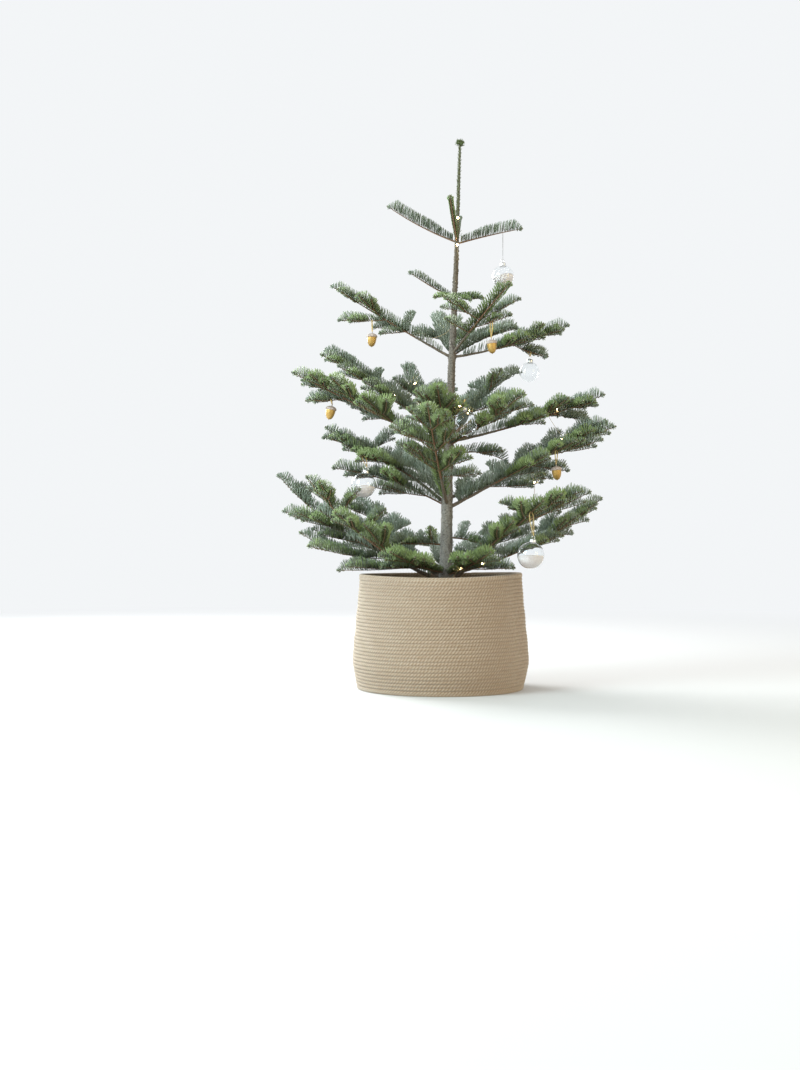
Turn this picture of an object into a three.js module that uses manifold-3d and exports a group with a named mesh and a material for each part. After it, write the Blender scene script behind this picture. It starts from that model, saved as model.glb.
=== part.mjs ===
// A young fir tree standing in a coiled rope basket, in millimetres with +Z up.
// The origin is the centre of the basket's flat underside. +X is the right-hand side of the
// tree's front and +Y points to its back. Angles are in degrees unless a name says otherwise.
import * as THREE from "three";
import { mergeVertices } from "three/addons/utils/BufferGeometryUtils.js";
import Module from "manifold-3d";

const wasm = await Module();
wasm.setup();

const up = new THREE.Vector3(0, 0, 1);
const seatGap = 0.3; // clearance between neighbours that touch on the real plant
const weldDistance = 1e-4;
const simplifyTolerance = 0.02;
const nearlyParallel = 1e-9;

const basket = {
  height: 238,
  rimRadius: 169,
  neckRadius: 171,
  neckHeight: 200,
  waistRadius: 178,
  waistHeight: 130,
  bellyRadius: 184,
  bellyHeight: 56,
  footRadius: 173,
  wall: 7.3, // one rope thick
  floor: 8,
  rimRounding: 1.6,
  wallSteps: 7,
  curvePoints: 42,
  segments: 32,
  frontDip: 5, // how far the rim sinks at the front
  rightRise: 3, // and lifts at the right
};

const soil = {
  topHeight: 208,
  edgeStep: 6, // its edge lies at this step of the basket's inner wall
  levelRadius: 24, // level round the foot of the trunk
  wallClearance: 0.8,
};

const trunk = {
  footHeight: soil.topHeight + seatGap,
  topHeight: 1138,
  footX: 12, // the foot stands a little right of the basket's centre
  leanX: 30, // and the tip leans on to the right
  leanPower: 1.25,
  swayX: -1.2,
  swayY: 5,
  swayTurnsY: 1.1,
  tipDiameter: 4,
  taperDiameter: 24, // what the stem loses from foot to tip
  taperPower: 1.2,
  flareDiameter: 6, // what the root flare adds at the cut
  flareHeight: 16,
  sides: 16,
  rings: 21,
  ringSpread: 1.3, // above 1 the rings lie closer together at the foot
};

const tipRosette = { points: 9, reach: 10.5, waist: 3, lift: 8, needleRise: 3, height: 15 };

// How a limb grows: the share of it that is bare bough, and its forks as the place along the
// limb and the side shoots' length, both as shares of the limb's length.
const habits = {
  shoot: { woodShare: 0, forks: [] },
  twig: { woodShare: 0, forks: [[0.45, 0.4]] },
  spray: { woodShare: 0, forks: [[0.36, 0.37], [0.62, 0.32]] },
  bough: { woodShare: 0.28, forks: [[0.35, 0.34], [0.56, 0.31], [0.77, 0.2]] },
  longBough: { woodShare: 0.26, forks: [[0.33, 0.31], [0.54, 0.31], [0.77, 0.2]] },
};

// Whorl by whorl from the top: the height on the trunk, the azimuth seen from above (0 is the
// right, 90 the back), the length along the limb, and how steeply it rises at its root and tip.
const limbs = [
  { name: "top_left", habit: "shoot", height: 935, azimuth: 174, length: 160, rise: [22, 36] },
  { name: "top_right", habit: "shoot", height: 931, azimuth: 4, length: 134, rise: [16, 11] },
  { name: "top_front", habit: "shoot", height: 936, azimuth: -97, length: 134, rise: [24, 28] },
  { name: "top_back", habit: "shoot", height: 940, azimuth: 86, length: 140, rise: [30, 36] },
  { name: "upper_twig_left", habit: "shoot", height: 818, azimuth: 178, length: 102, rise: [26, 36] },
  { name: "upper_left", habit: "bough", height: 695, azimuth: 181, length: 284, rise: [29, 33] },
  { name: "upper_right", habit: "bough", height: 693, azimuth: -2, length: 242, rise: [8, 22] },
  { name: "upper_front", habit: "bough", height: 704, azimuth: -58, length: 224, rise: [30, 26] },
  { name: "upper_back", habit: "spray", height: 703, azimuth: 99, length: 226, rise: [26, 32] },
  { name: "upper_back_right", habit: "spray", height: 699, azimuth: 42, length: 192, rise: [31, 15] },
  { name: "middle_left_back", habit: "bough", height: 513, azimuth: 158, length: 350, rise: [44, 31] },
  { name: "middle_left_front", habit: "bough", height: 503, azimuth: -161, length: 352, rise: [24, 24] },
  { name: "middle_right", habit: "bough", height: 517, azimuth: -5, length: 324, rise: [11, 22] },
  { name: "middle_right_back", habit: "bough", height: 524, azimuth: 46, length: 264, rise: [51, 24] },
  { name: "middle_right_front", habit: "spray", height: 510, azimuth: -45, length: 216, rise: [20, 28] },
  { name: "middle_back", habit: "bough", height: 519, azimuth: 113, length: 300, rise: [33, 44] },
  { name: "middle_front", habit: "spray", height: 512, azimuth: -97, length: 208, rise: [22, 32] },
  { name: "middle_twig_right", habit: "twig", height: 487, azimuth: 14, length: 120, rise: [20, -32] },
  { name: "low_left", habit: "bough", height: 394, azimuth: 172, length: 288, rise: [42, 14] },
  { name: "low_left_front", habit: "spray", height: 386, azimuth: -174, length: 238, rise: [28, 8] },
  { name: "low_front", habit: "bough", height: 389, azimuth: -99, length: 294, rise: [32, 42] },
  { name: "low_right", habit: "bough", height: 382, azimuth: -11, length: 358, rise: [27, 29] },
  { name: "low_right_back", habit: "bough", height: 400, azimuth: 46, length: 318, rise: [12, 18] },
  { name: "low_back", habit: "bough", height: 396, azimuth: 106, length: 334, rise: [18, 26] },
  { name: "lower_twig_left", habit: "twig", height: 300, azimuth: 180, length: 106, rise: [4, -6] },
  { name: "lower_twig_right", habit: "twig", height: 314, azimuth: -20, length: 92, rise: [-4, -20] },
  { name: "foot_left_front", habit: "longBough", height: 226, azimuth: -163, length: 354, rise: [21, 53] },
  { name: "foot_left_back", habit: "longBough", height: 243, azimuth: 166, length: 422, rise: [12, 48] },
  { name: "foot_right_front", habit: "longBough", height: 225, azimuth: -27, length: 336, rise: [44, 21] },
  { name: "foot_right_back", habit: "bough", height: 240, azimuth: 12, length: 364, rise: [12, 40] },
  { name: "foot_back_right", habit: "bough", height: 238, azimuth: 54, length: 326, rise: [16, 32] },
  { name: "foot_back", habit: "bough", height: 250, azimuth: 94, length: 330, rise: [6, 16] },
  { name: "foot_back_left", habit: "bough", height: 232, azimuth: 130, length: 350, rise: [18, 44] },
  { name: "foot_front_left", habit: "spray", height: 242, azimuth: -124, length: 186, rise: [6, 20] },
  { name: "foot_front_right", habit: "spray", height: 238, azimuth: -62, length: 176, rise: [8, 22] },
];

// The seeded rule for side shoots: they leave in pairs, lean off by the spread, hang a little
// below the limb's own plane, curl up towards their tips and bend back along the limb.
const growth = {
  pointSpacing: 12,
  leastSteps: 4,
  spread: 46,
  spreadRange: 12,
  droop: -0.06,
  droopRange: 0.3,
  lengthLeast: 0.86,
  lengthRange: 0.28,
  curlLeast: 4,
  curlRange: 14,
  bendBack: 14,
  shootClearance: 12, // a side shoot nearer than this to another mass is skipped
  rimMargin: 6, // and one that would come lower than this over the basket's rim
  wallMargin: 22, // what counts as over the wall, inward from the rim's radius
  soilMargin: 8,
};

// Every limb, fork and hand draws its own numbers, counted up from the first seed.
const seeds = { first: 101, limb: 31, fork: 7, hand: 3 };

const bough = { leastRadius: 1.4, shareOfTrunk: 0.22, endShare: 0.62, sides: 6, rings: 4 };

// A shoot is a slim stem that needles stand out of, in turn to the left and the right. Each
// tooth stands for a tuft of needles, which rise from the stem's upper side and point forward.
const needles = {
  step: 10.8,
  reach: 25,
  stemRadius: 1.9,
  sideStemRadius: 1.5,
  tipStemRadius: 0.9,
  tipLength: 7,
  upperCorner: [0.87, 0.5], // sideways and upward, as shares of the stem's radius
  flat: [0.42, 0.62, 0.66], // forward, sideways, upward
  steep: [0.42, 0.26, 0.87],
  rootShare: 0.72, // the reach at the shoot's two ends
  clearance: 5.5, // a tooth nearer than this to another mass or limb is skipped
};

function material(color, roughness) {
  return new THREE.MeshStandardMaterial({ color, roughness, metalness: 0 });
}

function named(geometry, name, surface) {
  const mesh = new THREE.Mesh(geometry, surface);
  mesh.name = name;
  return mesh;
}

// Welds a geometry and drops the faces that the welding leaves without area.
function welded(geometry) {
  const bare = geometry.clone();
  bare.deleteAttribute("normal");
  bare.deleteAttribute("uv");
  const merged = mergeVertices(bare, weldDistance);
  const kept = [];
  for (let i = 0; i < merged.index.count; i += 3) {
    const corners = [0, 1, 2].map((j) => merged.index.getX(i + j));
    if (new Set(corners).size === 3) kept.push(...corners);
  }
  merged.setIndex(kept);
  return merged;
}

function meshOf(corners, faces) {
  const geometry = new THREE.BufferGeometry();
  const flat = corners.flatMap((corner) => corner.toArray());
  geometry.setAttribute("position", new THREE.Float32BufferAttribute(flat, 3));
  geometry.setIndex(faces);
  return geometry;
}

// Lathes a profile of [radius, height] pairs about the Z axis, from the axis to the axis.
function turned(profile, segments) {
  const points = profile.map(([radius, height]) => new THREE.Vector2(radius, height));
  const geometry = new THREE.LatheGeometry(points, segments);
  geometry.rotateX(Math.PI / 2);
  return welded(geometry);
}

// The basket

const wallCurve = new THREE.SplineCurve([
  new THREE.Vector2(basket.footRadius, 0),
  new THREE.Vector2(basket.bellyRadius, basket.bellyHeight),
  new THREE.Vector2(basket.waistRadius, basket.waistHeight),
  new THREE.Vector2(basket.neckRadius, basket.neckHeight),
  new THREE.Vector2(basket.rimRadius, basket.height - basket.rimRounding),
]);

// The wall's outer radius at a height, read off the curve.
function wallRadius(height) {
  const points = wallCurve.getPoints(basket.curvePoints);
  const above = Math.max(1, points.findIndex((point) => point.y >= height));
  const [low, high] = [points[above - 1], points[above]];
  return THREE.MathUtils.lerp(low.x, high.x, (height - low.y) / (high.y - low.y));
}

function rimWave(x, y) {
  const angle = Math.atan2(y, x);
  const front = Math.max(0, -Math.sin(angle)) ** 2;
  const right = Math.max(0, Math.cos(angle)) ** 2;
  return basket.rightRise * right - basket.frontDip * front;
}

// The inner face of the basket's wall, from its floor to its rim.
function innerWall() {
  const top = basket.height - basket.rimRounding;
  return Array.from({ length: basket.wallSteps + 1 }, (_, step) => {
    const height = THREE.MathUtils.lerp(basket.floor, top, step / basket.wallSteps);
    return [wallRadius(height) - basket.wall, height];
  });
}

// A wall of one rope's thickness with a flat floor, its rim dipping softly at the front.
function basketShell() {
  const top = basket.height - basket.rimRounding;
  const outer = Array.from({ length: basket.wallSteps + 1 }, (_, step) => {
    const height = (top * step) / basket.wallSteps;
    return [wallRadius(height), height];
  });
  const crown = [[basket.rimRadius - basket.wall / 2, basket.height]];
  const profile = [[0, 0], ...outer, ...crown, ...innerWall().reverse(), [0, basket.floor]];
  const geometry = turned(profile, basket.segments);
  const place = geometry.attributes.position;
  for (let i = 0; i < place.count; i += 1) {
    const lift = (place.getZ(i) / basket.height) ** 2;
    if (place.getZ(i) > basket.floor) {
      place.setZ(i, place.getZ(i) + lift * rimWave(place.getX(i), place.getY(i)));
    }
  }
  return geometry;
}

// The potting soil fills the basket to a little under its rim, and is level round the trunk.
function soilFill() {
  const bottom = basket.floor + seatGap;
  const wall = innerWall()
    .slice(0, soil.edgeStep + 1)
    .map(([radius, height]) => [radius - soil.wallClearance, Math.max(height, bottom)]);
  const top = [[soil.levelRadius, soil.topHeight], [0, soil.topHeight]];
  return turned([[0, bottom], ...wall, ...top], basket.segments);
}

// The trunk

function alongTrunk(height) {
  const share = (height - trunk.footHeight) / (trunk.topHeight - trunk.footHeight);
  return THREE.MathUtils.clamp(share, 0, 1);
}

// The trunk leans along X by a power of the height, and sways by a sine in X and in Y.
function trunkCentre(height) {
  const t = alongTrunk(height);
  const lean = trunk.footX + trunk.leanX * t ** trunk.leanPower;
  const x = lean + trunk.swayX * Math.sin(2 * Math.PI * t);
  const y = trunk.swayY * Math.sin(2 * Math.PI * trunk.swayTurnsY * t);
  return new THREE.Vector3(x, y, height);
}

// The radius tapers by a power of the height, and a flare dies away upwards from the cut.
function trunkRadius(height) {
  const taper = trunk.taperDiameter * (1 - alongTrunk(height)) ** trunk.taperPower;
  const flare = trunk.flareDiameter * Math.exp((trunk.footHeight - height) / trunk.flareHeight);
  return (trunk.tipDiameter + taper + flare) / 2;
}

// Joins rings of equal count into one closed body, with a flat cap at both ends.
function loft(rings) {
  const count = rings[0].length;
  const faces = [];
  for (let i = 2; i < count; i += 1) {
    faces.push(0, i, i - 1);
    const last = (rings.length - 1) * count;
    faces.push(last, last + i - 1, last + i);
  }
  for (let ring = 1; ring < rings.length; ring += 1) {
    for (let i = 0; i < count; i += 1) {
      const next = (i + 1) % count;
      const [low, high] = [(ring - 1) * count, ring * count];
      faces.push(low + i, low + next, high + next);
      faces.push(low + i, high + next, high + i);
    }
  }
  return meshOf(rings.flat(), faces);
}

// A ring of corners round a centre, counted the right way round when the stem comes towards
// the viewer.
function ringOf(centre, side, normal, radius, sides) {
  return Array.from({ length: sides }, (_, i) => {
    const angle = (2 * Math.PI * i) / sides;
    const across = side.clone().multiplyScalar(radius * Math.cos(angle));
    const along = normal.clone().multiplyScalar(radius * Math.sin(angle));
    return centre.clone().add(across).add(along);
  });
}

function trunkSolid() {
  const x = new THREE.Vector3(1, 0, 0);
  const y = new THREE.Vector3(0, 1, 0);
  const rings = Array.from({ length: trunk.rings + 1 }, (_, ring) => {
    const share = (ring / trunk.rings) ** trunk.ringSpread;
    const height = THREE.MathUtils.lerp(trunk.footHeight, trunk.topHeight, share);
    return ringOf(trunkCentre(height), x, y, trunkRadius(height), trunk.sides);
  });
  return loft(rings);
}

// The tuft of short needles round the buds at the very tip: a star that closes to a point.
function rosetteSolid() {
  const foot = trunkCentre(trunk.topHeight).add(new THREE.Vector3(0, 0, seatGap));
  const count = tipRosette.points * 2;
  const star = (radius, height, wave) =>
    Array.from({ length: count }, (_, i) => {
      const angle = (2 * Math.PI * i) / count;
      const far = wave && i % 2 === 0;
      const reach = far ? tipRosette.reach : radius;
      const lift = far ? height + tipRosette.needleRise : height;
      return new THREE.Vector3(reach * Math.cos(angle), reach * Math.sin(angle), lift).add(foot);
    });
  return loft([
    star(trunk.tipDiameter / 2, 0, false),
    star(tipRosette.waist, tipRosette.lift, true),
    star(1, tipRosette.height, false),
  ]);
}

// Limbs and side shoots

function random(seed, draw) {
  const wave = Math.sin(seed * 12.9898 + draw * 78.233) * 43758.5453;
  return wave - Math.floor(wave);
}

function heading(azimuth, rise) {
  const around = THREE.MathUtils.degToRad(azimuth);
  const climb = THREE.MathUtils.degToRad(rise);
  const flat = Math.cos(climb);
  return new THREE.Vector3(flat * Math.cos(around), flat * Math.sin(around), Math.sin(climb));
}

// The axis of a limb or shoot: equal steps whose azimuth and rise change evenly on the way.
function axisFrom(start, azimuth, length, rise, bend) {
  const steps = Math.max(growth.leastSteps, Math.round(length / growth.pointSpacing));
  const points = [start.clone()];
  for (let step = 0; step < steps; step += 1) {
    const t = (step + 0.5) / steps;
    const way = heading(azimuth + bend * t, THREE.MathUtils.lerp(rise[0], rise[1], t));
    points.push(points[step].clone().addScaledVector(way, length / steps));
  }
  return points;
}

function placeOn(points, t) {
  const along = THREE.MathUtils.clamp(t, 0, 1) * (points.length - 1);
  const step = Math.min(Math.floor(along), points.length - 2);
  return points[step].clone().lerp(points[step + 1], along - step);
}

// The directions along, across and upward at a place on an axis.
function frameOn(points, t) {
  const step = Math.min(Math.floor(t * (points.length - 1)), points.length - 2);
  const along = points[step + 1].clone().sub(points[step]).normalize();
  const side = up.clone().cross(along).normalize();
  return { along, side, normal: along.clone().cross(side) };
}

function boughRadius(height) {
  return bough.leastRadius + bough.shareOfTrunk * trunkRadius(height);
}

function rootRadius(limb) {
  return habits[limb.habit].woodShare > 0 ? boughRadius(limb.height) : needles.stemRadius;
}

// A limb's axis starts clear of the trunk, by the gap and by what its tilted end needs.
function limbAxis(limb) {
  const tilt = rootRadius(limb) * Math.sin(THREE.MathUtils.degToRad(Math.abs(limb.rise[0])));
  const out = trunkRadius(limb.height) + seatGap + tilt;
  const start = trunkCentre(limb.height).addScaledVector(heading(limb.azimuth, 0), out);
  return axisFrom(start, limb.azimuth, limb.length, limb.rise, 0);
}

function sideShoot(parent, seed, t, share, side) {
  const { along, side: across, normal } = frameOn(parent.points, t);
  const turn = growth.spread + growth.spreadRange * (random(seed, 1) - 0.5);
  const spread = THREE.MathUtils.degToRad(turn);
  const droop = growth.droop + growth.droopRange * (random(seed, 2) - 0.5);
  const way = along.multiplyScalar(Math.cos(spread));
  way.addScaledVector(across, side * Math.sin(spread)).addScaledVector(normal, droop);
  way.normalize();
  const azimuth = THREE.MathUtils.radToDeg(Math.atan2(way.y, way.x));
  const rise = THREE.MathUtils.radToDeg(Math.asin(way.z));
  const length = parent.length * share * (growth.lengthLeast + growth.lengthRange * random(seed, 3));
  const curl = growth.curlLeast + growth.curlRange * random(seed, 4);
  const start = placeOn(parent.points, t);
  const points = axisFrom(start, azimuth, length, [rise, rise + curl], -side * growth.bendBack);
  return { owner: parent.owner, points, length, startShare: 0, root: needles.sideStemRadius };
}

// The least distance between two segments.
function segmentGap(a, b, c, d) {
  const first = b.clone().sub(a);
  const second = d.clone().sub(c);
  const between = a.clone().sub(c);
  const [aa, bb, ab] = [first.dot(first), second.dot(second), first.dot(second)];
  const [af, bf] = [first.dot(between), second.dot(between)];
  const spread = aa * bb - ab * ab;
  let s = spread > nearlyParallel ? THREE.MathUtils.clamp((ab * bf - af * bb) / spread, 0, 1) : 0;
  const t = THREE.MathUtils.clamp((ab * s + bf) / bb, 0, 1);
  s = THREE.MathUtils.clamp((ab * t - af) / aa, 0, 1);
  return a.clone().addScaledVector(first, s).distanceTo(c.clone().addScaledVector(second, t));
}

function segmentsOf(points, owner, radius) {
  return points.slice(1).map((to, i) => ({ from: points[i], to, owner, radius }));
}

// True where a stretch from one place to another keeps the clearance to every other owner.
function isClear(from, to, owner, taken, clearance) {
  const reach = from.distanceTo(to) + clearance;
  return taken.every((other) => {
    if (other.owner === owner) return true;
    const room = reach + other.radius + other.from.distanceTo(other.to);
    if (from.distanceTo(other.from) > room) return true;
    return segmentGap(from, to, other.from, other.to) > clearance + other.radius;
  });
}

function overBasket(point) {
  const radius = Math.hypot(point.x, point.y);
  const nearWall = radius > basket.rimRadius - growth.wallMargin && radius < basket.bellyRadius;
  if (nearWall) return point.z > basket.height + growth.rimMargin;
  return radius > basket.rimRadius || point.z > soil.topHeight + growth.soilMargin;
}

// Every limb first, then their side shoots in turn; a shoot that would leave its mass's own
// space, by touching another mass, the trunk or the basket, is skipped.
function growTree() {
  const stemHeights = Array.from({ length: trunk.rings + 1 }, (_, i) =>
    THREE.MathUtils.lerp(trunk.footHeight, trunk.topHeight, i / trunk.rings),
  );
  const stem = segmentsOf(stemHeights.map(trunkCentre), "trunk", 0);
  stem.forEach((piece) => (piece.radius = trunkRadius(piece.from.z)));
  const mains = limbs.map((limb) => ({
    owner: limb.name,
    points: limbAxis(limb),
    length: limb.length,
    startShare: habits[limb.habit].woodShare,
    root: rootRadius(limb) * (habits[limb.habit].woodShare > 0 ? bough.endShare : 1),
    isMain: true,
  }));
  const taken = [...stem];
  mains.forEach((main) => taken.push(...segmentsOf(main.points, main.owner, main.root)));
  const shoots = [...mains];
  limbs.forEach((limb, row) => {
    habits[limb.habit].forks.forEach(([t, share], fork) => {
      [1, -1].forEach((side) => {
        const seed = seeds.first + (row + 1) * seeds.limb + fork * seeds.fork + (side + 1) * seeds.hand;
        const shoot = sideShoot(mains[row], seed, t, share, side);
        const stretches = segmentsOf(shoot.points, shoot.owner, shoot.root);
        const fits = stretches.every(
          (piece) =>
            overBasket(piece.to) &&
            isClear(piece.from, piece.to, piece.owner, taken, growth.shootClearance),
        );
        if (!fits) return;
        taken.push(...stretches);
        shoots.push(shoot);
      });
    });
  });
  return { shoots, taken };
}

// The corners of one shoot, ring by ring: the stem's underside, its left and its right corner.
// A ring with a tooth has its left or right corner out at the needles' tips.
function shootRings(shoot, taken) {
  const from = shoot.startShare > 0 ? shoot.startShare + seatGap / shoot.length : 0;
  const length = shoot.length * (1 - from);
  const steps = Math.max(growth.leastSteps, Math.round(length / needles.step));
  return Array.from({ length: steps }, (_, step) => {
    const t = from + ((1 - from) * step) / steps;
    const centre = placeOn(shoot.points, t);
    const { along, side, normal } = frameOn(shoot.points, t);
    const radius = THREE.MathUtils.lerp(shoot.root, needles.tipStemRadius, step / steps);
    const corner = (across, upward) =>
      centre.clone().addScaledVector(side, radius * across).addScaledVector(normal, radius * upward);
    const [beside, above] = needles.upperCorner;
    const ring = { under: corner(0, -1), right: corner(-beside, above), left: corner(beside, above) };
    const hand = step % 2 === 0 ? "left" : "right";
    const [forward, sideways, upward] = step % 4 < 2 ? needles.flat : needles.steep;
    const ends = Math.sin(Math.PI * Math.min(1, (step + 1) / steps));
    const reach = needles.reach * (needles.rootShare + (1 - needles.rootShare) * ends);
    const tip = centre.clone().addScaledVector(along, reach * forward);
    tip.addScaledVector(side, (hand === "left" ? 1 : -1) * reach * sideways);
    tip.addScaledVector(normal, reach * upward);
    const first = shoot.isMain ? 0 : 1;
    if (step > first && isClear(centre, tip, shoot.owner, taken, needles.clearance)) {
      taken.push({ from: centre, to: tip, owner: shoot.owner, radius: 0 });
      ring[hand] = tip;
      ring.out = hand;
    }
    return ring;
  });
}

// Closes the rings of a shoot into one body. Each four-sided stretch between two rings is
// split along the line that leaves a tooth free of its neighbours.
function shootSolid(shoot, taken) {
  const rings = shootRings(shoot, taken);
  const corners = rings.flatMap((ring) => [ring.under, ring.left, ring.right]);
  const faces = [0, 2, 1];
  const hands = [undefined, "left", "right"];
  for (let ring = 1; ring < rings.length; ring += 1) {
    const [low, high] = [3 * (ring - 1), 3 * ring];
    for (let i = 0; i < 3; i += 1) {
      const next = (i + 1) % 3;
      const out = [rings[ring - 1].out, rings[ring].out];
      const outHere = hands[i] && out[0] === hands[i];
      const outThere = hands[next] && out[1] === hands[next];
      if (outHere || outThere) {
        faces.push(low + i, low + next, high + i);
        faces.push(low + next, high + next, high + i);
      } else {
        faces.push(low + i, low + next, high + next);
        faces.push(low + i, high + next, high + i);
      }
    }
  }
  const last = 3 * (rings.length - 1);
  const { along } = frameOn(shoot.points, 1);
  corners.push(shoot.points.at(-1).clone().addScaledVector(along, needles.tipLength));
  const tip = corners.length - 1;
  faces.push(last, last + 1, tip, last + 1, last + 2, tip, last + 2, last, tip);
  return meshOf(corners, faces);
}

function toManifold(geometry) {
  const merged = welded(geometry);
  const mesh = new wasm.Mesh({
    numProp: 3,
    vertProperties: merged.attributes.position.array,
    triVerts: new Uint32Array(merged.index.array),
  });
  return new wasm.Manifold(mesh);
}

function fromManifold(solid) {
  const mesh = solid.getMesh();
  const geometry = new THREE.BufferGeometry();
  geometry.setAttribute("position", new THREE.BufferAttribute(mesh.vertProperties, 3));
  geometry.setIndex(new THREE.BufferAttribute(mesh.triVerts, 1));
  return geometry;
}

// Fuses a mass's shoots, and keeps the one body that holds its stem.
function fused(geometries) {
  const joined = geometries.map(toManifold).reduce((whole, next) => whole.add(next));
  const bodies = joined.decompose();
  const largest = bodies.reduce((best, next) => (next.volume() > best.volume() ? next : best));
  return fromManifold(largest.simplify(simplifyTolerance));
}

function boughSolid(limb) {
  const points = limbAxis(limb);
  const { woodShare } = habits[limb.habit];
  const thick = boughRadius(limb.height);
  const rings = Array.from({ length: bough.rings + 1 }, (_, ring) => {
    const share = ring / bough.rings;
    const { side, normal } = frameOn(points, woodShare * share);
    const radius = THREE.MathUtils.lerp(thick, thick * bough.endShare, share);
    return ringOf(placeOn(points, woodShare * share), side, normal, radius, bough.sides);
  });
  return loft(rings);
}

// Materials

const ropeFinish = () => material(0xcbb08a, 0.95);
const soilFinish = () => material(0x3d2f25, 1);
const barkFinish = () => material(0x8c8176, 0.9);
const boughFinish = () => material(0x7c604a, 0.85);
const needleFinish = () => material(0x56714a, 0.6);

// The whole plant in its basket

function buildTree() {
  const group = new THREE.Group();
  group.add(named(basketShell(), "basket", ropeFinish()));
  group.add(named(soilFill(), "potting_soil", soilFinish()));
  group.add(named(trunkSolid(), "trunk", barkFinish()));
  group.add(named(rosetteSolid(), "sprays_tip", needleFinish()));
  const { shoots, taken } = growTree();
  limbs.forEach((limb) => {
    if (habits[limb.habit].woodShare > 0) {
      group.add(named(boughSolid(limb), `bough_${limb.name}`, boughFinish()));
    }
    const own = shoots.filter((shoot) => shoot.owner === limb.name);
    const mass = fused(own.map((shoot) => shootSolid(shoot, taken)));
    group.add(named(mass, `sprays_${limb.name}`, needleFinish()));
  });
  return group;
}

export default buildTree();
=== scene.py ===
import math

import bpy
import numpy as np
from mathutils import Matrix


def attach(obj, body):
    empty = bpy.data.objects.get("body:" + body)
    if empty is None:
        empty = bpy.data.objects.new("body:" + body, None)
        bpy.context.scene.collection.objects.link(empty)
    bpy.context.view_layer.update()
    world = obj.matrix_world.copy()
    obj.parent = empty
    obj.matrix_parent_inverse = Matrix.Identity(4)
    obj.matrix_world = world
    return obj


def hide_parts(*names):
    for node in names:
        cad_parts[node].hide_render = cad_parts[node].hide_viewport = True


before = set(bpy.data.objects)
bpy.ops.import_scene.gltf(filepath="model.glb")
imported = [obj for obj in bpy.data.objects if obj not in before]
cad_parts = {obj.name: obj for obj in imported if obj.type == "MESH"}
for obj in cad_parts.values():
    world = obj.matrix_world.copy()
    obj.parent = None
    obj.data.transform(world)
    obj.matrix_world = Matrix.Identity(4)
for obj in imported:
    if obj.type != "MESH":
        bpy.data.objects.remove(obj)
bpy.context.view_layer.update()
print("frame loaded:", len(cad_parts), "nodes")

mm = 0.001  # every length below is in millimetres, and every mesh in metres
up = np.array([0.0, 0.0, 1.0])
back = np.array([0.0, 1.0, 0.0])
goldenAngle = 2.39996  # things that follow each other at this turn never line up
nearEnd = 0.999  # the share of a path where its last stretch still gives a direction
poleBulge = 0.6  # how far a tube's ends are rounded out, in its radii


# Meshes from arrays

def unit(vectors):
    return vectors / np.linalg.norm(vectors, axis=-1, keepdims=True)


def ease(share):
    share = np.clip(share, 0, 1)
    return share * share * (3 - 2 * share)


# Corners are rows of x, y, z. Each face group is an array of faces that have the same number of corners.
def meshFrom(name, corners, faceGroups, slots=None, uv=None, flat=False):
    mesh = bpy.data.meshes.new(name)
    loops = np.concatenate([group.ravel() for group in faceGroups])
    sizes = np.concatenate([np.full(len(group), group.shape[1]) for group in faceGroups])
    mesh.vertices.add(len(corners))
    mesh.vertices.foreach_set("co", (corners * mm).astype(np.float32).ravel())
    mesh.loops.add(len(loops))
    mesh.loops.foreach_set("vertex_index", loops.astype(np.int32))
    mesh.polygons.add(len(sizes))
    mesh.polygons.foreach_set("loop_start", (np.cumsum(sizes) - sizes).astype(np.int32))
    if slots is not None:
        mesh.polygons.foreach_set("material_index", slots.astype(np.int32))
    if uv is not None:
        layer = mesh.uv_layers.new(name="along")
        layer.data.foreach_set("uv", uv.astype(np.float32).ravel())
    mesh.update(calc_edges=True)
    if flat:
        mesh.shade_flat()
    else:
        mesh.shade_smooth()
    return mesh


# A piece takes its finishes, rides on the tree's one body and stands for the solids that are named.
def addPiece(mesh, finishes, nodes=()):
    for finish in finishes:
        mesh.materials.append(finish)
    piece = bpy.data.objects.new(mesh.name, mesh)
    bpy.context.scene.collection.objects.link(piece)
    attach(piece, "root")
    if nodes:
        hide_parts(*nodes)


# Angles in equal steps all the way round.
def anglesRound(count):
    return 2 * np.pi * np.arange(count) / count


# Places by their reach from the z axis, their angle round it and their height.
def aroundAxis(reach, angle, height):
    return np.stack(np.broadcast_arrays(reach * np.cos(angle), reach * np.sin(angle), height), -1)


# The four-sided faces between rings of corners, where every ring is closed.
def gridFaces(rows, columns):
    row, column = np.meshgrid(np.arange(rows - 1), np.arange(columns), indexing="ij")
    beside = (column + 1) % columns
    low, high = row * columns, (row + 1) * columns
    return np.stack([low + column, low + beside, high + beside, high + column], -1).reshape(-1, 4)


# Triangles from the corners of one ring to a pole.
def fanFaces(ring, pole, atEnd):
    beside = np.roll(ring, -1)
    middle = (ring, beside) if atEnd else (beside, ring)
    return np.stack([np.full(len(ring), pole), *middle], -1)


# Rings of corners, counted as (ring, corner, xyz), become one closed body with a pole at each end.
def closedRings(rings, firstPole, lastPole):
    rows, columns = rings.shape[:2]
    corners = np.concatenate([rings.reshape(-1, 3), [firstPole, lastPole]])
    count = rows * columns
    first = fanFaces(np.arange(columns), count, False)
    last = fanFaces(np.arange(count - columns, count), count + 1, True)
    return corners, [gridFaces(rows, columns), np.concatenate([first, last])]


# How far along a path each of its points is.
def lengthsAlong(path):
    return np.concatenate([[0], np.cumsum(np.linalg.norm(np.diff(path, axis=0), axis=1))])


# The directions along, beside and over a path. Beside is the reference crossed with along.
def pathFrames(path, reference):
    along = unit(np.gradient(path, axis=0))
    beside = unit(np.cross(reference, along))
    return along, beside, np.cross(along, beside)


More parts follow.
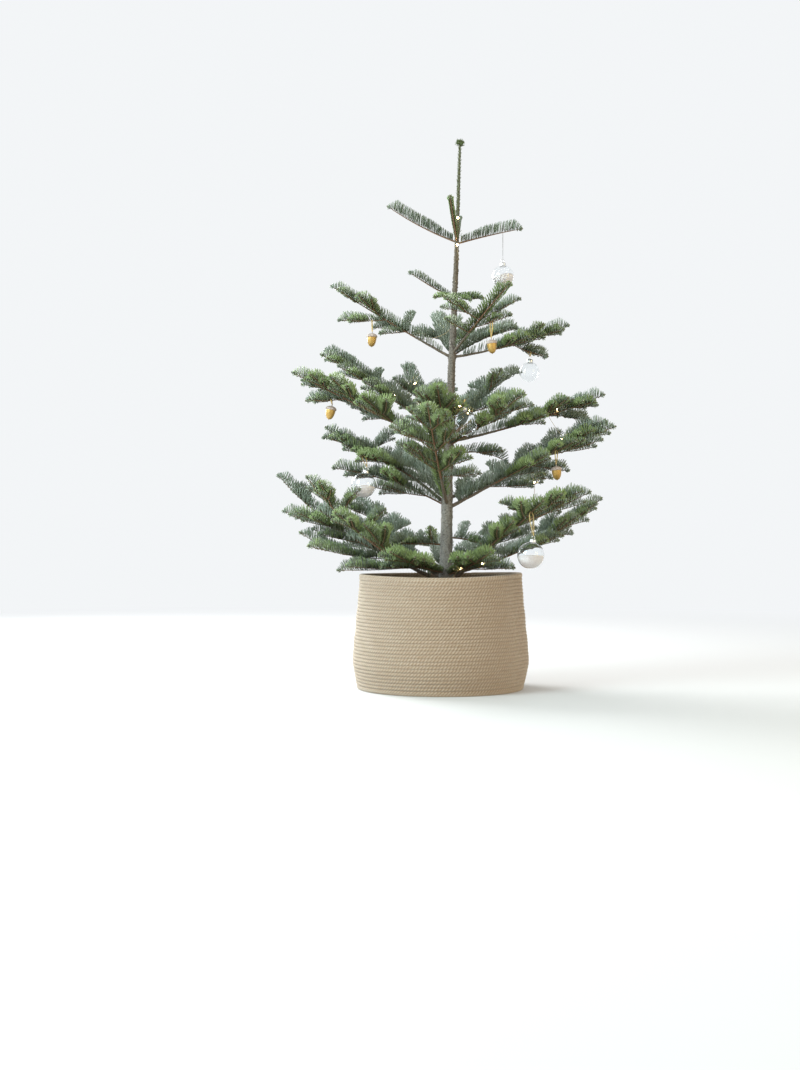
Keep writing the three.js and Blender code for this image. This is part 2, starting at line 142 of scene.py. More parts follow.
# A profile carried along a path: corner = centre + radius * (wide * cos(angle) * beside + tall * sin(angle) *
# over). The radius may change by ring and by corner, and the angle turns by the twist.
def tube(path, radius, sides, reference=up, twist=0.0, wide=1.0, tall=1.0):
    along, beside, over = pathFrames(path, reference)
    radius = np.broadcast_to(np.asarray(radius, float).T, (sides, len(path))).T
    angle = anglesRound(sides) + np.broadcast_to(twist, len(path))[:, None]
    across = (radius * np.cos(angle) * wide)[..., None] * beside[:, None]
    upward = (radius * np.sin(angle) * tall)[..., None] * over[:, None]
    firstPole = path[0] - along[0] * radius[0].mean() * poleBulge
    lastPole = path[-1] + along[-1] * radius[-1].mean() * poleBulge
    return closedRings(path[:, None] + across + upward, firstPole, lastPole)


# Several bodies as one: their corners in a row, and their faces counted on.
def joined(bodies):
    start = 0
    faces = {}
    for corners, groups in bodies:
        for group in groups:
            faces.setdefault(group.shape[1], []).append(group + start)
        start += len(corners)
    return np.concatenate([body[0] for body in bodies]), [np.concatenate(rows) for rows in faces.values()]


# Corners counted as (copy, corner, xyz) become one body, whose faces are one copy's faces over and over.
def repeated(copies, groups):
    offset = (np.arange(len(copies)) * copies.shape[1])[:, None, None]
    return copies.reshape(-1, 3), [(group[None] + offset).reshape(-1, group.shape[1]) for group in groups]


# Copies of one small body: corner = origin + x * beside + y * over + z * along, in each copy's own frame.
def copiesOf(body, origins, frames):
    corners, groups = body
    return repeated(origins[:, None] + np.einsum("kc,ncd->nkd", corners, frames), groups)


# A small body turned about z from radii at heights.
def turnedBody(radii, heights, sides):
    radii, heights = np.asarray(radii, float), np.asarray(heights, float)
    rings = aroundAxis(radii[1:-1, None], anglesRound(sides), heights[1:-1, None])
    return closedRings(rings, heights[0] * up, heights[-1] * up)


# Materials

# Links a node's inputs to sockets, or sets them to values. A colour comes without its alpha.
def feed(node, inputs):
    for place, value in inputs.items():
        socket = node.inputs[place]
        if hasattr(value, "is_linked"):
            node.id_data.links.new(value, socket)
        elif socket.type == "RGBA":
            socket.default_value = (*value, 1)
        else:
            socket.default_value = value
    return node


# A smooth step of a value, from 0 at the low limit to 1 at the high one.
def smoothStep(value, low, high):
    step = value.id_data.nodes.new("ShaderNodeMapRange")
    step.interpolation_type = "SMOOTHSTEP"
    return feed(step, {"Value": value, "From Min": low, "From Max": high}).outputs["Result"]


# The mix node has sockets for every type. Its colours go in at 6 and 7 and come out at 2.
def mixColours(factor, dark, light):
    mix = factor.id_data.nodes.new("ShaderNodeMix")
    mix.data_type = "RGBA"
    return feed(mix, {0: factor, 6: dark, 7: light}).outputs[2]


# Two colours mixed by a soft noise: the grain that the bark, the rope, the soil and the caps share.
def makeMottle():
    group = bpy.data.node_groups.new("mottle", "ShaderNodeTree")
    inputs = {"Vector": "Vector", "Scale": "Float", "Detail": "Float", "Low": "Float", "High": "Float",
              "Dark": "Color", "Light": "Color"}
    for way, sockets in (("INPUT", inputs), ("OUTPUT", {"Color": "Color", "Mask": "Float"})):
        for name, kind in sockets.items():
            group.interface.new_socket(name, in_out=way, socket_type=f"NodeSocket{kind}")
    entry = group.nodes.new("NodeGroupInput").outputs
    noise = group.nodes.new("ShaderNodeTexNoise")
    feed(noise, {name: entry[name] for name in ("Vector", "Scale", "Detail")})
    mask = smoothStep(noise.outputs["Fac"], entry["Low"], entry["High"])
    colour = mixColours(mask, entry["Dark"], entry["Light"])
    feed(group.nodes.new("NodeGroupOutput"), {"Color": colour, "Mask": mask})
    return group


mottleGroup = makeMottle()


def startMaterial(name, sockets):
    material = bpy.data.materials.new(name)
    material.use_nodes = True
    return material, feed(material.node_tree.nodes["Principled BSDF"], sockets)


# Either colour may be another node's output.
def addMottle(vector, dark, light, scale, detail=3.0, low=0.35, high=0.65):
    node = vector.id_data.nodes.new("ShaderNodeGroup")
    node.node_tree = mottleGroup
    return feed(node, {"Vector": vector, "Scale": scale, "Detail": detail, "Low": low, "High": high,
                       "Dark": dark, "Light": light}).outputs


# A strength as a share, and a distance in millimetres.
def addBump(shader, height, strength, distance):
    bump = shader.id_data.nodes.new("ShaderNodeBump")
    feed(bump, {"Strength": strength, "Distance": distance * mm, "Height": height})
    feed(shader, {"Normal": bump.outputs["Normal"]})


# The piece's own place, or the map's, stretched by a scale for each axis.
def placeVector(material, scale=(1, 1, 1), source="Object"):
    nodes = material.node_tree.nodes
    place = nodes.new("ShaderNodeTexCoord").outputs[source]
    return feed(nodes.new("ShaderNodeMapping"), {"Vector": place, "Scale": scale}).outputs["Vector"]


# A material in two colours of the grain, whose relief is the bump's strength and distance.
def mottledFinish(name, colours, scale, sockets, detail=5, relief=(0.4, 0.3), stretch=(1, 1, 1)):
    material, shader = startMaterial(name, sockets)
    mottle = addMottle(placeVector(material, stretch), *colours, scale, detail)
    feed(shader, {"Base Color": mottle["Color"]})
    if relief:
        addBump(shader, mottle["Mask"], *relief)
    return material


# The rule that the tree grows by

trunk = {
    "footHeight": 208.3,
    "topHeight": 1138,
    "footX": 12,
    "leanX": 30,
    "leanPower": 1.25,
    "swayX": -1.2,
    "swayY": 5,
    "swayTurnsX": 1,
    "swayTurnsY": 1.1,
    "tipDiameter": 4,
    "taperDiameter": 24,
    "taperPower": 1.2,
    "flareDiameter": 6,
    "flareHeight": 16,
    "rings": 21,
}

# The share of a limb that is bare bough, and its forks: their place and their shoots' length, as shares.
habits = {
    "shoot": (0, []),
    "twig": (0, [(0.45, 0.4)]),
    "spray": (0, [(0.36, 0.37), (0.62, 0.32)]),
    "bough": (0.28, [(0.35, 0.34), (0.56, 0.31), (0.77, 0.2)]),
    "longBough": (0.26, [(0.33, 0.31), (0.54, 0.31), (0.77, 0.2)]),
}

# Name, habit, height on the trunk, azimuth, length, and the rise at the root and at the tip.
limbs = [
    ("top_left", "shoot", 935, 174, 160, 22, 36),
    ("top_right", "shoot", 931, 4, 134, 16, 11),
    ("top_front", "shoot", 936, -97, 134, 24, 28),
    ("top_back", "shoot", 940, 86, 140, 30, 36),
    ("upper_twig_left", "shoot", 818, 178, 102, 26, 36),
    ("upper_left", "bough", 695, 181, 284, 29, 33),
    ("upper_right", "bough", 693, -2, 242, 8, 22),
    ("upper_front", "bough", 704, -58, 224, 30, 26),
    ("upper_back", "spray", 703, 99, 226, 26, 32),
    ("upper_back_right", "spray", 699, 42, 192, 31, 15),
    ("middle_left_back", "bough", 513, 158, 350, 44, 31),
    ("middle_left_front", "bough", 503, -161, 352, 24, 24),
    ("middle_right", "bough", 517, -5, 324, 11, 22),
    ("middle_right_back", "bough", 524, 46, 264, 51, 24),
    ("middle_right_front", "spray", 510, -45, 216, 20, 28),
    ("middle_back", "bough", 519, 113, 300, 33, 44),
    ("middle_front", "spray", 512, -97, 208, 22, 32),
    ("middle_twig_right", "twig", 487, 14, 120, 20, -32),
    ("low_left", "bough", 394, 172, 288, 42, 14),
    ("low_left_front", "spray", 386, -174, 238, 28, 8),
    ("low_front", "bough", 389, -99, 294, 32, 42),
    ("low_right", "bough", 382, -11, 358, 27, 29),
    ("low_right_back", "bough", 400, 46, 318, 12, 18),
    ("low_back", "bough", 396, 106, 334, 18, 26),
    ("lower_twig_left", "twig", 300, 180, 106, 4, -6),
    ("lower_twig_right", "twig", 314, -20, 92, -4, -20),
    ("foot_left_front", "longBough", 226, -163, 354, 21, 53),
    ("foot_left_back", "longBough", 243, 166, 422, 12, 48),
    ("foot_right_front", "longBough", 225, -27, 336, 44, 21),
    ("foot_right_back", "bough", 240, 12, 364, 12, 40),
    ("foot_back_right", "bough", 238, 54, 326, 16, 32),
    ("foot_back", "bough", 250, 94, 330, 6, 16),
    ("foot_back_left", "bough", 232, 130, 350, 18, 44),
    ("foot_front_left", "spray", 242, -124, 186, 6, 20),
    ("foot_front_right", "spray", 238, -62, 176, 8, 22),
]

# Twigs that the rule alone doesn't give, by limb: a twig's own name, its place along the limb, its azimuth,
# its rise at the root and at the tip, and its length.
chosenTwigs = {
    "upper_twig_left": [("crossing", 0.03, -38, -16, -4, 84), ("beside", 0.07, -130, -20, -5, 46)],
    "upper_left": [("upright", 0.37, 60, 48, 60, 56), ("lower", 0.36, -172, -10, 0, 54),
        ("level", 0.53, -177, -5, 4, 98)],
    "upper_right": [("hanging", 0.5, 34, -18, -8, 88), ("rear", 0.54, 70, 23, 33, 62),
        ("front", 0.62, -50, 24, 34, 56)],
    "upper_front": [("outer", 0.47, 8, 23, 33, 94), ("inner", 0.47, -146, 20, 28, 92),
        ("low", 0.28, -150, 18, 28, 60)],
    "middle_left_back": [("upright", 0.6, 70, 38, 48, 50)],
    "middle_left_front": [("under", 0.4, 172, -6, 4, 44), ("level", 0.66, 176, -7, 3, 80)],
    "middle_right": [("rear", 0.42, 30, 26, 36, 66), ("front", 0.62, -25, 24, 34, 62),
        ("hanging", 0.66, 30, -10, 0, 86), ("outer", 0.74, 25, 24, 34, 58)],
    "middle_right_back": [("level", 0.3, -22, 11, 21, 116), ("upright", 0.52, -40, 46, 56, 70),
        ("inmost", 0.12, 70, 42, 52, 96)],
    "middle_back": [("rightward", 0.3, 35, 52, 62, 96)],
    "middle_front": [("raised", 0.45, 5, 38, 48, 66)],
    "low_left": [("inward", 0.64, 35, 32, 42, 78), ("front", 0.48, -120, -1, 9, 104),
        ("upright", 0.42, 60, 46, 54, 60), ("crest", 0.6, -176, 26, 34, 92),
        ("tipCrest", 0.8, -176, 34, 42, 60)],
    "low_left_front": [("under", 0.14, -172, 6, 13, 118), ("front", 0.35, -125, 16, 26, 80),
        ("rear", 0.3, 130, 20, 30, 80)],
    "low_front": [("left", 0.64, -155, 13, 23, 98), ("right", 0.64, -20, 24, 34, 84),
        ("upperLeft", 0.45, -170, 20, 30, 90), ("lowRight", 0.3, 0, 0, 8, 80)],
    "low_right": [("rear", 0.5, 15, 42, 52, 58), ("front", 0.68, -20, 34, 44, 60),
        ("lower", 0.6, -22, 9, 19, 125), ("outermost", 0.76, -14, 13, 23, 98),
        ("hanging", 0.5, 10, -12, -4, 84), ("inward", 0.33, 125, 30, 40, 60),
        ("inmost", 0.08, 60, 30, 40, 60), ("upperInner", 0.38, 30, 42, 50, 84),
        ("upperMiddle", 0.57, 42, 40, 48, 86), ("upperOuter", 0.75, 30, 38, 46, 74),
        ("nearest", 0.03, 60, 46, 54, 70)],
    "lower_twig_left": [("inner", 0.35, 100, 44, 54, 36), ("outer", 0.75, 120, 40, 50, 34),
        ("near", 0.15, -100, 46, 56, 44)],
    "lower_twig_right": [("upright", 0.2, 60, 44, 54, 46)],
    "foot_left_front": [("inner", 0.55, -22, 36, 46, 74), ("outer", 0.72, -26, 40, 50, 68)],
    "foot_left_back": [("low", 0.1, 181, -6, 1, 172), ("middle", 0.28, 182, -7, 3, 70),
        ("outer", 0.24, -178, -6, 36, 210), ("reaching", 0.6, -176, 10, 22, 112),
        ("between", 0.42, -176, 8, 24, 112)],
    "foot_right_front": [("inward", 0.66, -165, 18, 28, 72), ("upright", 0.72, -10, 44, 54, 50),
        ("lower", 0.58, -14, 20, 28, 150)],
    "foot_right_back": [("outer", 0.72, -10, 12, 18, 52), ("lower", 0.42, -16, 14, 24, 96),
        ("upper", 0.5, 20, 44, 52, 96)],
    "foot_front_left": [("low", 0.35, -165, -2, 4, 90)],
    "foot_front_right": [("low", 0.35, -18, -2, 6, 105)],
}

# Shoots of the rule that the photograph doesn't show, or that would grow into a hanging ball.
sparedShoots = {
    "upper_left": ["0left", "1right"],
    "upper_front": ["0right", "1left", "1right", "2left", "2right", "outer0Left", "0left0Left"],
    "upper_back": ["1left"],
    "middle_back": ["2left", "2right"],
    "middle_right_back": ["1right", "2right"],
    "low_left_front": ["0left", "1left"],
    "foot_left_back": ["2left"],
    "foot_back": ["0left", "1left", "1right"],
}

growth = {
    "pointSpacing": 12,
    "leastSteps": 4,
    "seatGap": 0.3,
    "stemRadius": 1.9,
    "spreadRange": 12,
    "droop": -0.06,
    "droopRange": 0.3,
    "lengthLeast": 0.86,
    "lengthRange": 0.28,
    "curlLeast": 4,
    "curlRange": 14,
    "bendBack": 14,
    "fineParent": 62,  # side shoots longer than this fork once more
    "fineForks": [(0.36, 0.52)],
    "chosenSeed": 5000,
}

# Side shoots grow on the main limbs, and fine ones on the side shoots. A seed is the sum of the parent's
# seed, the fork, the hand and one, each times its number here.
sideRule = {"order": 1, "spread": 46, "radius": 1.5, "clearance": 12, "seed": (31, 7, 3, 104),
            "hands": {1: "left", -1: "right"}}
fineRule = {"order": 2, "spread": 34, "radius": 1.1, "clearance": 7, "seed": (5, 13, 2, 700),
            "hands": {1: "Left", -1: "Right"}}

boughs = {"leastRadius": 1.4, "shareOfTrunk": 0.22, "endShare": 0.62}

# No shoot comes nearer to the basket and the soil than this.
basketRoom = {"innerRadius": 147, "rimRadius": 169, "outerRadius": 184, "rimTop": 244, "soilTop": 216}


# Seeded numbers from 0 to 1, the same in every run: the fraction of a large multiple of a sine.
def wave(seed, draw):
    value = np.sin(seed * 12.9898 + draw * 78.233) * 43758.5453
    return value - np.floor(value)


def heading(azimuth, rise):
    around, climb = np.radians(azimuth), np.radians(rise)
    return aroundAxis(np.cos(climb), around, np.sin(climb))


def trunkShare(height):
    return np.clip((height - trunk["footHeight"]) / (trunk["topHeight"] - trunk["footHeight"]), 0, 1)


# The trunk leans along x by a power of the height, and sways by a sine in x and in y.
def trunkCentre(height):
    t = trunkShare(height)
    lean = trunk["footX"] + trunk["leanX"] * t ** trunk["leanPower"]
    x = lean + trunk["swayX"] * np.sin(2 * np.pi * trunk["swayTurnsX"] * t)
    y = trunk["swayY"] * np.sin(2 * np.pi * trunk["swayTurnsY"] * t)
    return np.stack(np.broadcast_arrays(x, y, height), -1).astype(float)


# The radius tapers by a power of the height, and a flare dies away upwards from the foot.
def trunkRadius(height):
    taper = trunk["taperDiameter"] * (1 - trunkShare(height)) ** trunk["taperPower"]
    flare = trunk["flareDiameter"] * np.exp((trunk["footHeight"] - height) / trunk["flareHeight"])
    return (trunk["tipDiameter"] + taper + flare) / 2


# Equal steps from a start, whose azimuth and rise change evenly on the way.
def axisFrom(start, azimuth, length, rise, bend=0.0):
    steps = max(growth["leastSteps"], int(length / growth["pointSpacing"] + 0.5))
    t = (np.arange(steps) + 0.5) / steps
    ways = heading(azimuth + bend * t, rise[0] + (rise[1] - rise[0]) * t)
    return np.vstack([start, start + np.cumsum(ways, axis=0) * length / steps])


def placeOn(points, t):
    along = np.clip(t, 0, 1) * (len(points) - 1)
    step = np.minimum(np.floor(along).astype(int), len(points) - 2)
    rest = np.asarray(along - step)[..., None]
    return points[step] * (1 - rest) + points[step + 1] * rest


def framesOn(points, t):
    step = np.minimum(np.floor(np.asarray(t) * (len(points) - 1)).astype(int), len(points) - 2)
    along = unit(points[step + 1] - points[step])
    side = unit(np.cross(up, along))
    return along, side, np.cross(along, side)


def rootRadius(habit, height):
    if habits[habit][0] > 0:
        return boughs["leastRadius"] + boughs["shareOfTrunk"] * trunkRadius(height)
    return growth["stemRadius"]


# Wood is the share of a shoot that is bare bough, and thick the bough's radius at its root.
def newShoot(limb, place, order, seed, length, points, root, wood=0, thick=0):
    return {"limb": limb, "place": place, "order": order, "seed": seed, "length": length, "points": points,
            "root": root, "wood": wood, "thick": thick}


def mainLimb(row):
    name, habit, height, azimuth, length, rootRise, tipRise = limbs[row]
    thick = rootRadius(habit, height)
    out = trunkRadius(height) + growth["seatGap"] + thick * math.sin(math.radians(abs(rootRise)))
    start = trunkCentre(height) + heading(azimuth, 0) * out
    wood = habits[habit][0]
    points = axisFrom(start, azimuth, length, (rootRise, tipRise))
    root = thick * (boughs["endShare"] if wood else 1)
    return newShoot(name, "main", 0, row + 1, length, points, root, wood, thick)


# A side shoot leaves its parent by the spread, a little below its plane, and curls up and back to its tip.
def sideShoot(parent, fork, t, share, hand, rule):
    factors = zip(rule["seed"], (parent["seed"], fork, hand, 1))
    seed = sum(factor * value for factor, value in factors)
    place = f"{parent['place'] if parent['order'] else ''}{fork}{rule['hands'][hand]}"
    along, across, normal = framesOn(parent["points"], t)
    spread = math.radians(rule["spread"] + growth["spreadRange"] * (wave(seed, 1) - 0.5))
    droop = growth["droop"] + growth["droopRange"] * (wave(seed, 2) - 0.5)
    way = unit(along * math.cos(spread) + across * hand * math.sin(spread) + normal * droop)
    azimuth, rise = math.degrees(math.atan2(way[1], way[0])), math.degrees(math.asin(way[2]))
    length = parent["length"] * share * (growth["lengthLeast"] + growth["lengthRange"] * wave(seed, 3))
    curl = growth["curlLeast"] + growth["curlRange"] * wave(seed, 4)
    root = placeOn(parent["points"], t)
    points = axisFrom(root, azimuth, length, (rise, rise + curl), -hand * growth["bendBack"])
    return newShoot(parent["limb"], place, rule["order"], seed, length, points, rule["radius"])


# The least distances from one stretch to many others.
def gapsTo(start, end, starts, ends):
    first, second, between = end - start, ends - starts, start - starts
    aa, bb = first @ first, (second * second).sum(1)
    ab, af, bf = second @ first, between @ first, (between * second).sum(1)
    spread = aa * bb - ab * ab
    least = 1e-9  # stretches that spread less than this count as parallel
    s = np.where(spread > least, np.clip((ab * bf - af * bb) / np.maximum(spread, least), 0, 1), 0)
    t = np.clip((ab * s + bf) / bb, 0, 1)
    s = np.clip((ab * t - af) / aa, 0, 1)
    return np.linalg.norm(start + s[:, None] * first - starts - t[:, None] * second, axis=1)


def overBasket(points):
    reach = np.hypot(points[:, 0], points[:, 1])
    nearWall = (reach > basketRoom["innerRadius"]) & (reach < basketRoom["outerRadius"])
    outside = reach > basketRoom["rimRadius"]
    overSoil = points[:, 2] > basketRoom["soilTop"]
    return np.where(nearWall, points[:, 2] > basketRoom["rimTop"], outside | overSoil).all()


# Every stretch of stem that has grown so far, with its radius and the limb that owns it.
taken = {"starts": [], "ends": [], "radii": [], "owners": []}


def take(points, radii, owner):
    taken["starts"].extend(points[:-1])
    taken["ends"].extend(points[1:])
    taken["radii"].extend(np.broadcast_to(radii, len(points) - 1))
    taken["owners"].extend([owner] * (len(points) - 1))


def fits(shoot, clearance):
    others = np.array(taken["owners"]) != shoot["limb"]
    starts, ends = np.array(taken["starts"])[others], np.array(taken["ends"])[others]
    room = np.array(taken["radii"])[others] + clearance
    points = shoot["points"]
    return overBasket(points[1:]) and all(
        (gapsTo(start, end, starts, ends) > room).all() for start, end in zip(points[:-1], points[1:])
    )


# The shoots to the left and to the right at each fork of a parent. One that is spared, or that would touch
# another limb's shoots, the trunk or the basket, is skipped.
def forkShoots(parent, forks, rule):
    grown = []
    for fork, (t, share) in enumerate(forks):
        for hand in rule["hands"]:
            shoot = sideShoot(parent, fork, t, share, hand, rule)
            spared = shoot["place"] in sparedShoots.get(shoot["limb"], ())
            if not spared and fits(shoot, rule["clearance"]):
                take(shoot["points"], shoot["root"], shoot["limb"])
                grown.append(shoot)
    return grown


def chosenShoots(mains):
    limbPoints = {main["limb"]: main["points"] for main in mains}
    rows = [(limb, *twig) for limb, twigs in chosenTwigs.items() for twig in twigs]
    grown = []
    for index, (limb, name, t, azimuth, rootRise, tipRise, length) in enumerate(rows):
        points = axisFrom(placeOn(limbPoints[limb], t), azimuth, length, (rootRise, tipRise))
        seed = growth["chosenSeed"] + index
        grown.append(newShoot(limb, name, sideRule["order"], seed, length, points, sideRule["radius"]))
        take(points, sideRule["radius"], limb)
    return grown


# Every main limb first, then their side shoots and the chosen twigs, then the fine shoots on those.
def growTree():
    stemHeights = np.linspace(trunk["footHeight"], trunk["topHeight"], trunk["rings"] + 1)
    take(trunkCentre(stemHeights), trunkRadius(stemHeights)[:-1], "trunk")
    mains = [mainLimb(row) for row in range(len(limbs))]
    for main in mains:
        take(main["points"], main["root"], main["limb"])
    sides = []
    for main, limb in zip(mains, limbs):
        sides += forkShoots(main, habits[limb[1]][1], sideRule)
    sides += chosenShoots(mains)
    fine = []
    for parent in sides:
        if parent["length"] > growth["fineParent"]:
            fine += forkShoots(parent, growth["fineForks"], fineRule)
    return mains + sides + fine


shoots = growTree()
taken = {name: np.array(rows) for name, rows in taken.items()}
shootAt = {(shoot["limb"], shoot["place"]): shoot for shoot in shoots}
stemLength = sum(shoot["length"] for shoot in shoots) * mm
print("tree grown:", len(shoots), "shoots,", round(stemLength, 1), "m of stems")


photoView = {"at": (0, -2700, 288), "turnLeft": 1.78, "lookUp": 0.67, "focalPixels": 1289,
             "longSidePixels": 1070}


# Bark: the trunk, the boughs and the twigs

bark = {
    "trunkSides": 56,
    "trunkRings": 620,
    "trunkTip": 7,
    "ridgeWaves": 9,
    "leastRidges": 3,  # the waves round the trunk that the first sine has
    "ridgeClimb": (0.05, 0.045),  # how the first sine leans, and how much more each next one
    "ridgeSway": (2.1, 0.031),
    "ridgeFade": 0.35,
    "ridgeHeight": 0.3,
    "scarSeed": 11,
    "scarCount": 1500,
    "scarHeight": 0.95,
    "scarWidth": 2.0,
    "scarTall": 1.2,
    "scarCut": 4,  # where a scar's bell curve is cut off, in its heights
    "collarHeight": 0.375,  # how far the bark swells where a limb leaves, in the limb's radii
    "collarWidth": 1.8,
    "collarReach": 7.5,
    "collarDrop": 2,
    "collarCut": 3,
    "fullReliefRadius": 5,  # where the trunk is slimmer than this its relief is lower
    "leastRelief": 0.25,
    "sunkRoot": 2.5,  # how deep a bough starts inside the trunk
    "boughSides": 12,
    "boughSpacing": 2.5,
    "boughRelief": 0.16,
    "boughWaves": ((3, 0.9), (2, 1.7)),  # two crossing waves round and along a bough
    "twigSides": 7,
    "twigSpacing": 4,
    "twigSlimness": 0.62,
    "twigTipRadius": 0.65,
    "trunkColours": [(0.19, (0.275, 0.262, 0.232)), (0.42, (0.215, 0.19, 0.156)), (0.72, (0.16, 0.13, 0.10)),
                     (0.92, (0.13, 0.10, 0.062)), (1.0, (0.10, 0.10, 0.050))],  # by the height in metres
    "fleckColour": (0.04, 0.033, 0.025),
    "fleckScale": 300,
    "fleckStretch": (1, 1, 2.4),
    "boughColours": ((0.085, 0.066, 0.048), (0.19, 0.145, 0.10)),
    "twigColours": ((0.105, 0.060, 0.031), (0.245, 0.128, 0.060)),
}


# How far places lie from an angle on the trunk, measured round it.
def besideOn(angle, turn, radius):
    return (np.mod(angle - turn + np.pi, 2 * np.pi) - np.pi) * radius


# The relief at heights and angles: shallow ridges as a sum of sines, low scars of old leaf cushions as
# scattered flat bumps, and a swelling round every limb's root. Both kinds of bump are bell curves, cut off
# a few widths away.
def barkRelief(height, angle, centreRadius):
    ridges = np.zeros(np.broadcast_shapes(height.shape, angle.shape))
    (firstClimb, moreClimb), (sway, swayWave) = bark["ridgeClimb"], bark["ridgeSway"]
    for k in range(bark["ridgeWaves"]):
        around, climb = bark["leastRidges"] + k, firstClimb + moreClimb * k
        swung = sway * np.sin(swayWave * height + k)
        ridges = ridges + np.sin(around * angle + climb * height + swung) / (1 + bark["ridgeFade"] * k)
    relief = bark["ridgeHeight"] * ridges
    rng = np.random.default_rng(bark["scarSeed"])
    span = trunk["topHeight"] - trunk["footHeight"]
    scarHeights = trunk["footHeight"] + span * rng.random(bark["scarCount"])
    scarAngles = 2 * np.pi * rng.random(bark["scarCount"])
    for at, turn in zip(scarHeights, scarAngles):
        nearRows = np.abs(height[:, 0] - at) < bark["scarCut"] * bark["scarTall"]
        beside = besideOn(angle, turn, centreRadius[nearRows]) / bark["scarWidth"]
        rise = (height[nearRows] - at) / bark["scarTall"]
        relief[nearRows] += bark["scarHeight"] * np.exp(-rise * rise - beside**2)
    for limb in limbs:
        habit, at, azimuth = limb[1:4]
        nearRows = np.abs(height[:, 0] - at) < bark["collarCut"] * bark["collarReach"]
        thick = rootRadius(habit, at)
        beside = besideOn(angle, math.radians(azimuth), centreRadius[nearRows]) / thick / bark["collarWidth"]
        rise = (height[nearRows] - at + bark["collarDrop"]) / bark["collarReach"]
        relief[nearRows] += bark["collarHeight"] * thick * np.exp(-rise * rise - beside**2)
    return relief


def trunkMesh():
    share = np.linspace(0, 1, bark["trunkRings"])
    height = (trunk["footHeight"] + (trunk["topHeight"] - trunk["footHeight"]) * share)[:, None]
    angle = anglesRound(bark["trunkSides"])[None]
    radius = trunkRadius(height)
    slimness = np.clip(radius / bark["fullReliefRadius"], bark["leastRelief"], 1)
    radius = radius + barkRelief(height, angle, radius) * slimness
    centres = trunkCentre(height[:, 0])
    rings = centres[:, None] + aroundAxis(radius, angle, 0)
    return meshFrom("trunkBark", *closedRings(rings, centres[0], centres[-1] + up * bark["trunkTip"]))


def stemTube(shoot, fromShare, toShare, spacing, sides, relief, sunk):
    length = shoot["length"] * (toShare - fromShare)
    count = max(4, int(length / spacing))
    t = np.linspace(fromShare, toShare, count)
    path = placeOn(shoot["points"], t)
    if sunk:
        path[0] -= unit(path[1] - path[0]) * sunk
    wood = shoot["wood"]
    root = shoot["root"] * (bark["twigSlimness"] if shoot["order"] else 1)
    stem = root + (bark["twigTipRadius"] - root) * np.clip((t - wood) / (1 - wood), 0, 1)
    thick = shoot["thick"] + (root - shoot["thick"]) * np.clip(t / wood, 0, 1) if wood else stem
    radius = np.where(t < wood, thick, stem)[:, None]
    angle = anglesRound(sides)[None]
    along = (t * shoot["length"])[:, None]
    (around, onward), (backAround, backOnward) = bark["boughWaves"]
    bumps = np.sin(around * angle + onward * along + shoot["seed"])
    bumps = bumps * np.sin(backOnward * along - backAround * angle)
    return tube(path, radius * (1 + relief * bumps), sides)


# Pale smooth grey at the foot, browner and then greener towards the tip, with fine darker flecks.
def trunkFinish():
    material, shader = startMaterial("trunkBark", {"Roughness": 0.78})
    nodes = material.node_tree.nodes
    height = feed(nodes.new("ShaderNodeSeparateXYZ"), {"Vector": placeVector(material)}).outputs["Z"]
    ramp = feed(nodes.new("ShaderNodeValToRGB"), {"Fac": height})
    stops = ramp.color_ramp.elements
    foot, *between, tip = bark["trunkColours"]
    for stop, (at, colour) in ((stops[0], foot), (stops[1], tip)):
        stop.position = at
        stop.color = (*colour, 1)
    for at, colour in between:
        stops.new(at).color = (*colour, 1)
    vector = placeVector(material, bark["fleckStretch"])
    flecks = addMottle(vector, bark["fleckColour"], ramp.outputs["Color"], bark["fleckScale"],
                       detail=4, low=0.3, high=0.56)
    feed(shader, {"Base Color": flecks["Color"]})
    addBump(shader, flecks["Mask"], strength=0.5, distance=0.4)
    return material


def makeWood():
    addPiece(trunkMesh(), [trunkFinish()], ["trunk"])
    limbTubes = [
        stemTube(shoot, 0, shoot["wood"], bark["boughSpacing"], bark["boughSides"], bark["boughRelief"],
                 bark["sunkRoot"])
        for shoot in shoots if shoot["wood"]
    ]
    boughFinish = mottledFinish("boughBark", bark["boughColours"], scale=520, sockets={"Roughness": 0.75})
    boughNodes = [f"bough_{limb[0]}" for limb in limbs if habits[limb[1]][0] > 0]
    addPiece(meshFrom("boughs", *joined(limbTubes)), [boughFinish], boughNodes)
    twigTubes = [
        stemTube(shoot, shoot["wood"], 1, bark["twigSpacing"], bark["twigSides"], bark["boughRelief"] / 2,
                 0 if shoot["wood"] or shoot["order"] else bark["sunkRoot"])
        for shoot in shoots
    ]
    twigFinish = mottledFinish("twigBark", bark["twigColours"], scale=700, sockets={"Roughness": 0.6})
    masses = ["sprays_tip"] + [f"sprays_{limb[0]}" for limb in limbs]
    addPiece(meshFrom("twigs", *joined(twigTubes)), [twigFinish], masses)


makeWood()
print("wood made")


# Decorations: glass balls and gold acorns, each on a loop over a real shoot

